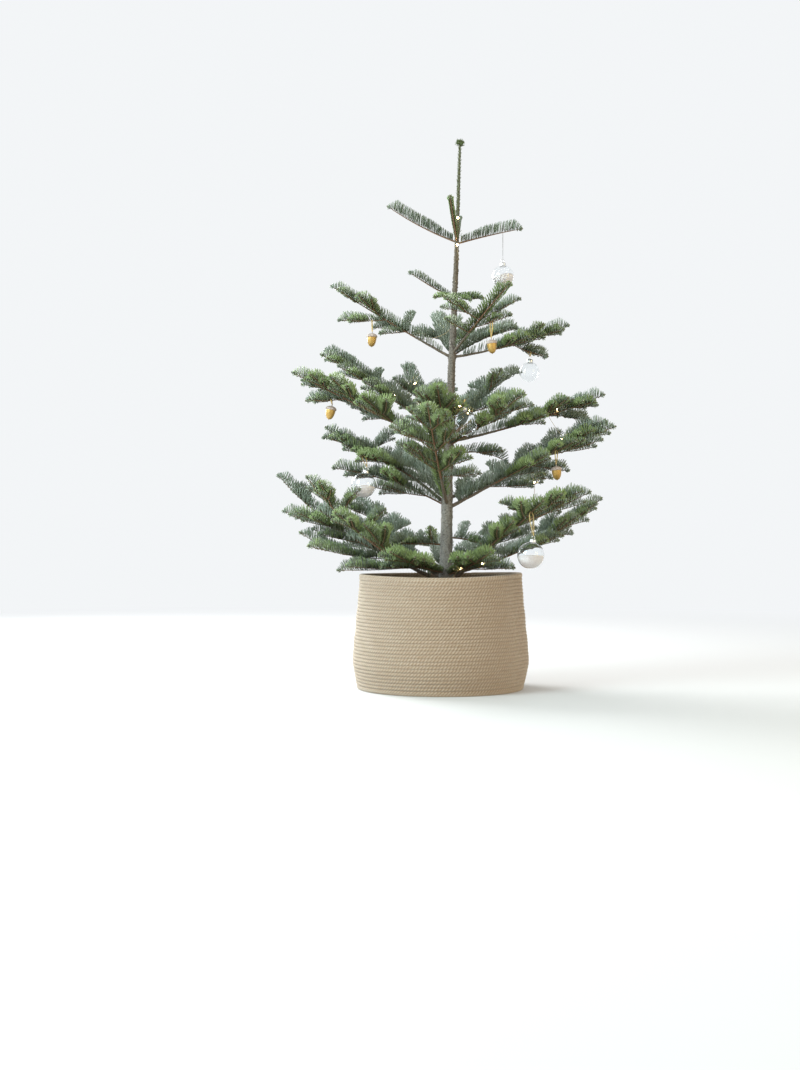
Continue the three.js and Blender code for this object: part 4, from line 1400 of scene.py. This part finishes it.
# The height of the soil: a shallow cone from the trunk to the wall, with lumps as a sum of sines.
def soilHeight(x, y):
    reach = np.hypot(x, y)
    coneEnd = wallRadius(soil["edgeHeight"]) - soil["coneRoom"]
    share = np.clip((reach - soil["levelRadius"]) / (coneEnd - soil["levelRadius"]), 0, 1)
    level = soil["topHeight"] + (soil["edgeHeight"] - soil["topHeight"]) * share
    lumps = np.zeros_like(reach)
    scale, closer = soil["lumpScale"]
    for k in range(1, soil["lumpWaves"] + 1):
        direction = goldenAngle * k
        along = x * np.cos(direction) + y * np.sin(direction)
        lumps = lumps + np.sin(along * (scale + closer * k) + k * k) / (1 + soil["lumpFade"] * k)
    return level + soil["lumps"] * soil["waveShare"] * lumps


def soilMesh():
    edge = wallRadius(soil["edgeHeight"]) - rope["thickness"] - soil["edgeRoom"]
    radius = edge * np.linspace(soil["innerShare"], 1, soil["rings"])[::-1, None]
    top = aroundAxis(radius, anglesRound(soil["sides"]), 0)
    top[..., 2] = soilHeight(top[..., 0], top[..., 1])
    skirt = top[:1] - up * soil["depth"]
    poles = (up * (soil["topHeight"] - soil["depth"] * 1.5), up * soil["topHeight"])
    return meshFrom("pottingSoil", *closedRings(np.concatenate([skirt, top]), *poles))


# Bark chips lie about on the soil, each a small flat lump turned its own way.
def chipBodies():
    rng = np.random.default_rng(soil["chipSeed"])
    count = soil["chips"]
    edge = wallRadius(soil["edgeHeight"]) - rope["thickness"] - soil["chipEdgeRoom"]
    reach, turn = edge * np.sqrt(rng.uniform(soil["chipInner"], 1, count)), 2 * np.pi * rng.random(count)
    origins = aroundAxis(reach, turn, 0)
    origins[:, 2] = soilHeight(origins[:, 0], origins[:, 1]) + soil["chipLift"]
    away = np.linalg.norm(origins[:, :2] - trunkCentre(soil["topHeight"])[:2], axis=1)
    origins = origins[away > soil["chipTrunkRoom"]]
    count = len(origins)
    leanX = soil["chipTilt"] * rng.standard_normal(count)
    leanY = soil["chipTilt"] * rng.standard_normal(count)
    tilt = unit(np.stack([leanX, leanY, np.ones(count)], -1))
    beside = unit(np.cross(tilt, unit(rng.standard_normal((count, 3)))))
    size = rng.uniform(*soil["chipSize"], count)[:, None, None]
    across, thick = np.cross(tilt, beside) * soil["chipWidth"], tilt * soil["chipThickness"]
    heights, radii = np.array(soil["chipProfile"]).T
    chip = turnedBody(radii, heights, soil["chipSides"])
    return copiesOf(chip, origins, np.stack([beside, across, thick], 1) * size)


def makeSoil():
    soilFinish = mottledFinish("pottingSoil", soil["colours"], scale=260, sockets={"Roughness": 0.95},
                               detail=6, relief=(0.8, 1.2))
    addPiece(soilMesh(), [soilFinish], ["potting_soil"])
    chipFinish = mottledFinish("barkChips", soil["chipColours"], scale=150, sockets={"Roughness": 0.85})
    addPiece(meshFrom("barkChips", *chipBodies(), flat=True), [chipFinish])


makeSoil()
print("soil made")


# The balls, the acorns and their loops

ornament = {
    "glassWall": 0.9,
    "sides": 40,
    "rows": 24,
    "neckRadius": 5.8,
    "innerNeck": 0.94,
    "capRadius": 6.3,
    "capHeight": 8.6,
    "capSunk": 1.2,
    "capProfile": [(0, 0.8, 1), (0.03, 1.06, 1), (0.3, 1.0, 1), (0.6, 0.98, 0.6), (0.8, 0.92, 0.2),
                   (0.93, 0.6, 0), (1.0, 0.2, 0)],  # height, width and how far it is crimped, as shares
    "crimps": 14,
    "cornersACrimp": 6,
    "crimpDepth": 0.05,
    "ringRadius": 3.0,
    "ringWire": 0.5,
    "ringLift": 0.8,
    "wireSides": 8,
    "fillGap": 0.5,
    "fillSlope": 0.16,
    "fillTurn": 0.4,
    "fillRows": (14, 12),
    "fillInner": 0.06,
    "fillOuter": 0.93,
    "fillDome": (2.2, 2.4),  # how high the top rises towards its middle, and at its pole
    "loops": {"thread": (3.0, 0.32, 1.0), "ribbon": (6.5, 1.7, 0.2)},  # half width, radius and thinness
    "loopOpen": 0.02,  # how far its ends stay apart, in radians, and how pointed the drop is
    "loopPoint": 1.5,
    "overStem": 2.6,
    "nutRadius": 9.9,
    "nutLength": 23,
    "nutInCap": 2,
    "nutPoint": 0.06,  # the share of the nut that is its point, how fast that widens, and its width
    "pointSlope": 2.2,
    "pointWidth": 0.13,
    "nutBlunt": 2.2,
    "acornCapRadius": 11.2,
    "acornCapHeight": 8,
    "acornCapEnd": 0.97,
    "acornCapBlunt": 2.6,
    "acornRim": 0.93,
    "acornStem": 5,
    "acornStemLean": 0.7,
    "acornStemRadii": (1.1, 0.2),  # at its root, and how much less at its end
    "acornLoop": 0.8,  # an acorn's loop is this much smaller than a ball's
    "scales": 9,
    "scaleDepth": 0.05,
    "scaleRows": 4.5,
}


# Turns places by a hanging's tilt about the y axis and moves them to its middle.
def settled(places, hanging):
    angle = math.radians(hanging["tilt"])
    cosine, sine = math.cos(angle), math.sin(angle)
    turn = np.array([[cosine, 0, -sine], [0, 1, 0], [sine, 0, cosine]])
    return places @ turn + hangPoint(hanging)[2]


def settledBody(body, hanging):
    corners, groups = body
    return settled(corners, hanging), groups


# A hollow ball: the outer sphere from its lowest point to the neck, then the inner one back down.
def glassBody(radius):
    inner = radius - ornament["glassWall"]
    polar = np.linspace(0, math.pi - math.asin(ornament["neckRadius"] / radius), ornament["rows"])
    innerNeck = math.asin(ornament["neckRadius"] / inner * ornament["innerNeck"])
    innerPolar = np.linspace(math.pi - innerNeck, 0, ornament["rows"])
    radii = np.concatenate([radius * np.sin(polar), inner * np.sin(innerPolar)])
    heights = np.concatenate([-radius * np.cos(polar), -inner * np.cos(innerPolar)])
    return turnedBody(radii, heights, ornament["sides"])


# The filling: the inner sphere up to a sloping level, closed by a lumpy top.
def fillBody(radius, level):
    inner = radius - ornament["glassWall"] - ornament["fillGap"]
    angle = anglesRound(ornament["sides"])
    height = inner * (level + ornament["fillSlope"] * np.cos(angle + ornament["fillTurn"]))
    wallRows, topRows = ornament["fillRows"]
    polar = np.linspace(ornament["fillInner"], 1, wallRows)[:, None] * np.arccos(-height / inner)[None]
    wall = aroundAxis(inner * np.sin(polar), angle, -inner * np.cos(polar))
    share = np.linspace(ornament["fillOuter"], ornament["fillInner"], topRows)[:, None]
    top = aroundAxis(share * np.sqrt(inner**2 - height**2), angle, 0)
    x, y = top[..., 0], top[..., 1]
    lumps = 0.5 * np.sin(0.9 * x + 1) * np.sin(0.8 * y) + 0.35 * np.sin(1.7 * x - 1.3 * y)
    dome, pole = ornament["fillDome"]
    top[..., 2] = inner * level + share * (height - inner * level) + (1 - share) * (lumps + dome)
    return closedRings(np.concatenate([wall, top]), -inner * up, (inner * level + pole) * up)


# The metal cap: a short crimped skirt and a domed top, with a wire ring standing on it.
def capBody(radius):
    foot = math.sqrt(radius**2 - ornament["capRadius"] ** 2) - ornament["capSunk"]
    share, width, crimped = np.array(ornament["capProfile"]).T[..., None]
    heights = foot + ornament["capHeight"] * share
    angle = anglesRound(ornament["cornersACrimp"] * ornament["crimps"])
    crimp = 1 + ornament["crimpDepth"] * np.cos(ornament["crimps"] * angle)[None] * crimped
    rings = aroundAxis(ornament["capRadius"] * width * crimp, angle, heights)
    turn = np.linspace(0, 2 * np.pi, 25)
    ringPlace = up * (heights[-1] + ornament["ringRadius"] * ornament["ringLift"])
    ringPath = ringPlace + ornament["ringRadius"] * np.stack([np.sin(turn), 0 * turn, -np.cos(turn)], -1)
    ring = tube(ringPath, ornament["ringWire"], ornament["wireSides"], reference=back)
    top = ringPlace + up * ornament["ringRadius"]
    return joined([closedRings(rings, heights[0] * up, heights[-1] * up), ring]), top


# A hanging loop: a drop-shaped line from the ring up over the stem and back, in the plane square to it.
def hangingLoop(low, high, across, halfWidth, radius, thin):
    turn = np.linspace(ornament["loopOpen"], 2 * np.pi - ornament["loopOpen"], 41)
    lift = (1 - np.cos(turn))[:, None] / 2 * (high - low)
    swing = halfWidth * np.sin(turn) * np.sin(turn / 2) ** ornament["loopPoint"]
    path = low + lift + swing[:, None] * across
    return tube(path, radius, ornament["wireSides"], reference=unit(np.cross(across, up)), wide=thin)


# The nut hangs point down from its cap, which has crossed rows of scales and a short stem.
def acornBodies():
    length, wide = ornament["nutLength"], ornament["nutRadius"]
    s = np.linspace(0, 1, 20)
    tip, least = ornament["nutPoint"], ornament["pointWidth"]
    above = np.clip((s - tip) / (1 - tip), 0, 1)
    rounded = least + (1 - least) * np.sqrt(1 - (1 - above) ** ornament["nutBlunt"])
    nutRadii = wide * np.where(s < tip, ornament["pointSlope"] * s, rounded)
    nutRadii[0] = nutRadii[-1] = 0
    nut = turnedBody(nutRadii, length * (s - 1) + ornament["nutInCap"], 28)
    share = np.linspace(0, 1, 16)[:, None]
    angle = anglesRound(72)
    capEnd, blunt = ornament["acornCapEnd"], ornament["acornCapBlunt"]
    radius = ornament["acornCapRadius"] * np.sqrt(np.clip(1 - (capEnd * share) ** blunt, 0, 1))
    radius[0] *= ornament["acornRim"]
    around, climb = ornament["scales"] * angle[None], ornament["scaleRows"] * np.pi * share
    reach = radius * (1 + ornament["scaleDepth"] * np.cos(around + climb) * np.cos(around - climb))
    top = ornament["acornCapHeight"]
    cap = closedRings(aroundAxis(reach, angle, top * share), 0.6 * up, (top + 0.3) * up)
    t = np.linspace(0, 1, 6)
    stemPath = top * up + t[:, None] * np.array([ornament["acornStemLean"], 0, ornament["acornStem"]]) - up
    root, slimmer = ornament["acornStemRadii"]
    stem = tube(stemPath, root - slimmer * t, ornament["wireSides"], reference=back)
    return nut, joined([cap, stem]), (top + ornament["acornStem"] - 1) * up


def hangAll():
    kinds = ("glass", "filling", "metal", "thread", "ribbon", "nuts", "caps")
    bodies = {kind: [] for kind in kinds}
    for ball in glassBalls:
        stem, side = hangPoint(ball)[:2]
        cap, top = capBody(ball["radius"])
        bodies["glass"].append(settledBody(glassBody(ball["radius"]), ball))
        bodies["metal"].append(settledBody(cap, ball))
        if ball["fill"] is not None:
            bodies["filling"].append(settledBody(fillBody(ball["radius"], ball["fill"]), ball))
        loopEnds = (settled(top, ball), stem + up * ornament["overStem"])
        bodies[ball["loop"]].append(hangingLoop(*loopEnds, side, *ornament["loops"][ball["loop"]]))
    nut, cap, top = acornBodies()
    for acorn in goldAcorns:
        stem, side = hangPoint(acorn)[:2]
        bodies["nuts"].append(settledBody(nut, acorn))
        bodies["caps"].append(settledBody(cap, acorn))
        turn = math.radians(acorn["loopTurn"])
        across = math.cos(turn) * side + math.sin(turn) * np.cross(up, side)
        width, radius, thin = ornament["loops"]["ribbon"]
        loopEnds = (settled(top, acorn), stem + up * ornament["overStem"])
        small = ornament["acornLoop"]
        bodies["ribbon"].append(hangingLoop(*loopEnds, across, width * small, radius * small, thin))
    return bodies


# The filling glows a little, for the light that the glass round it keeps off.
hangingLooks = {
    "silver": {"Roughness": 0.22, "Base Color": (0.72, 0.71, 0.69), "Metallic": 1.0},
    "glitter": {"Roughness": 0.42, "Metallic": 0.55},
    "flakeColours": ((0.30, 0.155, 0.03), (0.66, 0.43, 0.13)),
    "glass": {"Roughness": 0.0, "Base Color": (0.97, 0.985, 0.99), "Transmission Weight": 1.0, "IOR": 1.3},
    "filling": {"Roughness": 0.9, "Emission Color": (1.0, 0.95, 0.93), "Emission Strength": 0.1},
    "fillingColours": ((0.70, 0.61, 0.575), (0.85, 0.785, 0.75)),
    "threadColours": ((0.10, 0.095, 0.085), (0.22, 0.20, 0.18)),
    "gold": {"Roughness": 0.42, "Metallic": 0.45},
    "goldColours": ((0.50, 0.34, 0.12), (0.86, 0.66, 0.30)),
    "scaleColours": ((0.30, 0.225, 0.185), (0.56, 0.47, 0.42)),
}


# Glitter: every small cell of a Voronoi pattern is a flake with its own gold and its own tilt.
def goldGlitter():
    material, shader = startMaterial("goldGlitter", hangingLooks["glitter"])
    cells = material.node_tree.nodes.new("ShaderNodeTexVoronoi")
    feed(cells, {"Scale": 1500, "Vector": placeVector(material)})
    flakes = material.node_tree.nodes.new("ShaderNodeValToRGB")
    for stop, colour in zip(flakes.color_ramp.elements, hangingLooks["flakeColours"]):
        stop.color = (*colour, 1)
    feed(flakes, {"Fac": cells.outputs["Color"]})
    feed(shader, {"Base Color": flakes.outputs["Color"]})
    addBump(shader, flakes.outputs["Color"], strength=0.7, distance=0.5)
    return material


def silverMetal():
    material, shader = startMaterial("silverMetal", hangingLooks["silver"])
    wear = addMottle(placeVector(material), (0.3, 0.3, 0.3), (1, 1, 1), scale=600)
    addBump(shader, wear["Mask"], strength=0.15, distance=0.2)
    return material


def makeDecorations():
    bodies = hangAll()
    looks = hangingLooks
    clearGlass = startMaterial("clearGlass", looks["glass"])[0]
    whiteFilling = mottledFinish("whiteFilling", looks["fillingColours"], scale=700, sockets=looks["filling"],
                                 detail=4, relief=(0.6, 0.5))
    greyThread = mottledFinish("greyThread", looks["threadColours"], scale=1400, sockets={"Roughness": 0.6})
    goldThread = mottledFinish("goldThread", looks["goldColours"], scale=1400, sockets=looks["gold"],
                               detail=2, relief=(0.5, 0.2), stretch=(1, 1, 1.6))
    acornScales = mottledFinish("acornScales", looks["scaleColours"], scale=500, sockets={"Roughness": 0.8})
    pieces = (
        ("ballGlass", "glass", clearGlass, "ornament_glass"),
        ("ballFilling", "filling", whiteFilling, "ornament_filling"),
        ("ballCaps", "metal", silverMetal(), "ornament_metal"),
        ("hangingThreads", "thread", greyThread, "ribbon"),
        ("goldRibbons", "ribbon", goldThread, "ribbon"),
        ("acornNuts", "nuts", goldGlitter(), "acorn_glitter"),
        ("acornCaps", "caps", acornScales, "acorn_cap"),
    )
    for name, kind, finish, slotName in pieces:
        addPiece(meshFrom(name, *joined(bodies[kind])), [finish])


makeDecorations()
print("decorations hung")


# Fairy lights: one fine wire from the soil to the tip, with small beads on it

lightString = {
    "wireRadius": 0.42,
    "sag": 0.05,
    "spacing": 6,
    "rounding": 5,
    "beadRadius": 2.1,
    "beadLength": 5.0,
    "beadBlunt": 0.7,
    "beadSides": 10,
    "wireSides": 6,
    "reference": (0.36, 0.23, 0.9),  # must not lie along the wire
    "wireColours": ((0.28, 0.20, 0.09), (0.52, 0.42, 0.24)),
    "beadLooks": {"Roughness": 0.2, "Base Color": (1.0, 0.86, 0.62), "Emission Color": (1.0, 0.72, 0.38),
                  "Emission Strength": 55.0},
}


# Between two stops the wire sags by a parabola, and a running mean rounds its corners.
def wirePath(stops):
    stretches = []
    for low, high in zip(stops[:-1], stops[1:]):
        length = np.linalg.norm(high - low)
        s = np.linspace(0, 1, max(3, int(length / lightString["spacing"])), endpoint=False)[:, None]
        stretches.append(low + (high - low) * s - up * lightString["sag"] * length * 4 * s * (1 - s))
    path = np.concatenate([*stretches, stops[-1:]])
    reach = lightString["rounding"]
    padded = np.concatenate([np.repeat(path[:1], reach // 2, 0), path, np.repeat(path[-1:], reach // 2, 0)])
    mean = np.ones(reach) / reach
    return np.stack([np.convolve(padded[:, axis], mean, "valid") for axis in range(3)], -1)


def makeLights():
    stops = np.array([stopPlace(stop) for stop in lightStops])
    path = wirePath(stops)
    reference = unit(np.array(lightString["reference"]))
    lit = stops[[stop[-1] == 1 for stop in lightStops]]
    beads = np.linalg.norm(path[:, None] - lit[None], axis=-1).argmin(0)
    along, beside, over = pathFrames(path, reference)
    s = np.linspace(0, 1, 9)
    radii = lightString["beadRadius"] * np.sin(np.pi * s) ** lightString["beadBlunt"]
    bead = turnedBody(radii, lightString["beadLength"] * (s - 0.5), lightString["beadSides"])
    beadCopies = copiesOf(bead, path[beads], np.stack([beside[beads], over[beads], along[beads]], 1))
    wire = tube(path, lightString["wireRadius"], lightString["wireSides"], reference=reference)
    wireFinish = mottledFinish("lightWire", lightString["wireColours"], scale=400,
                               sockets={"Roughness": 0.35}, detail=3, relief=None)
    beadFinish = startMaterial("lightBead", lightString["beadLooks"])[0]
    addPiece(meshFrom("lightWire", *wire), [wireFinish])
    addPiece(meshFrom("lightBeads", *beadCopies), [beadFinish])
    print("light string:", round(lengthsAlong(path)[-1] * mm, 2), "m,", len(beads), "beads")


makeLights()


# Floor, light and camera

studio = {
    "floorRadius": 9000,
    "floorSides": 96,
    "floorRings": 12,
    "fadeFrom": 900,
    "fadeTo": 3800,
    "floorColour": (0.60, 0.59, 0.575),
    "airColour": (0.925, 0.945, 0.96),
    "airStrength": 0.97,
    "lamps": {
        "window": {"at": (-2300, 2300, 1900), "size": 2400, "power": 210, "colour": (0.94, 0.975, 1.0)},
        "left": {"at": (-2300, -1700, 1700), "size": 1900, "power": 108, "colour": (0.74, 0.94, 1.0)},
        "right": {"at": (2400, -2100, 1100), "size": 1900, "power": 25, "colour": (1.0, 0.80, 0.28)},
    },
    "lampAim": (30, 0, 520),
}


# The floor is a wide disc that fades to the colour of the air, so that no edge shows behind the tree.
def makeFloor():
    sides = studio["floorSides"]
    radii = np.linspace(0.02, 1, studio["floorRings"])[:, None] * studio["floorRadius"]
    rings = aroundAxis(radii, anglesRound(sides), 0)
    corners = np.concatenate([rings.reshape(-1, 3), [[0, 0, 0]]])
    faces = [gridFaces(len(radii), sides)[:, ::-1], fanFaces(np.arange(sides), len(corners) - 1, True)]
    floor = bpy.data.objects.new("floor", meshFrom("floor", corners, faces))
    bpy.context.scene.collection.objects.link(floor)
    material, shader = startMaterial("paleFloor", {"Roughness": 0.7, "Base Color": studio["floorColour"]})
    nodes = material.node_tree.nodes
    length = nodes.new("ShaderNodeVectorMath")
    length.operation = "LENGTH"
    feed(length, {0: placeVector(material)})
    fade = smoothStep(length.outputs["Value"], studio["fadeFrom"] * mm, studio["fadeTo"] * mm)
    air = nodes.new("ShaderNodeEmission")
    feed(air, {"Color": studio["airColour"], "Strength": studio["airStrength"]})
    mix = nodes.new("ShaderNodeMixShader")
    feed(mix, {0: fade, 1: shader.outputs["BSDF"], 2: air.outputs["Emission"]})
    feed(nodes["Material Output"], {"Surface": mix.outputs["Shader"]})
    floor.data.materials.append(material)


def makeLamps():
    world = bpy.data.worlds.new("paleAir")
    world.use_nodes = True
    background = world.node_tree.nodes["Background"]
    feed(background, {"Color": studio["airColour"], "Strength": studio["airStrength"]})
    bpy.context.scene.world = world
    for name, lamp in studio["lamps"].items():
        data = bpy.data.lights.new(name, "AREA")
        data.shape = "DISK"
        data.size = lamp["size"] * mm
        data.energy = lamp["power"]
        data.color = lamp["colour"]
        light = bpy.data.objects.new(name, data)
        place = np.array(lamp["at"], float) * mm
        light.location = place
        toTree = np.array(studio["lampAim"]) * mm - place
        light.rotation_euler = (math.pi - math.acos(toTree[2] / np.linalg.norm(toTree)), 0,
                                math.atan2(toTree[1], toTree[0]) - math.pi / 2)
        light.visible_camera = False
        bpy.context.scene.collection.objects.link(light)


def makeCamera():
    data = bpy.data.cameras.new("photoView")
    data.sensor_width = 36
    data.lens = data.sensor_width * photoView["focalPixels"] / photoView["longSidePixels"]
    camera = bpy.data.objects.new("photoView", data)
    camera.location = np.array(photoView["at"]) * mm
    camera.rotation_euler = (math.radians(90 + photoView["lookUp"]), 0, math.radians(photoView["turnLeft"]))
    bpy.context.scene.collection.objects.link(camera)
    bpy.context.scene.camera = camera


makeFloor()
makeLamps()
makeCamera()
bpy.context.scene.view_settings.view_transform = "Standard"
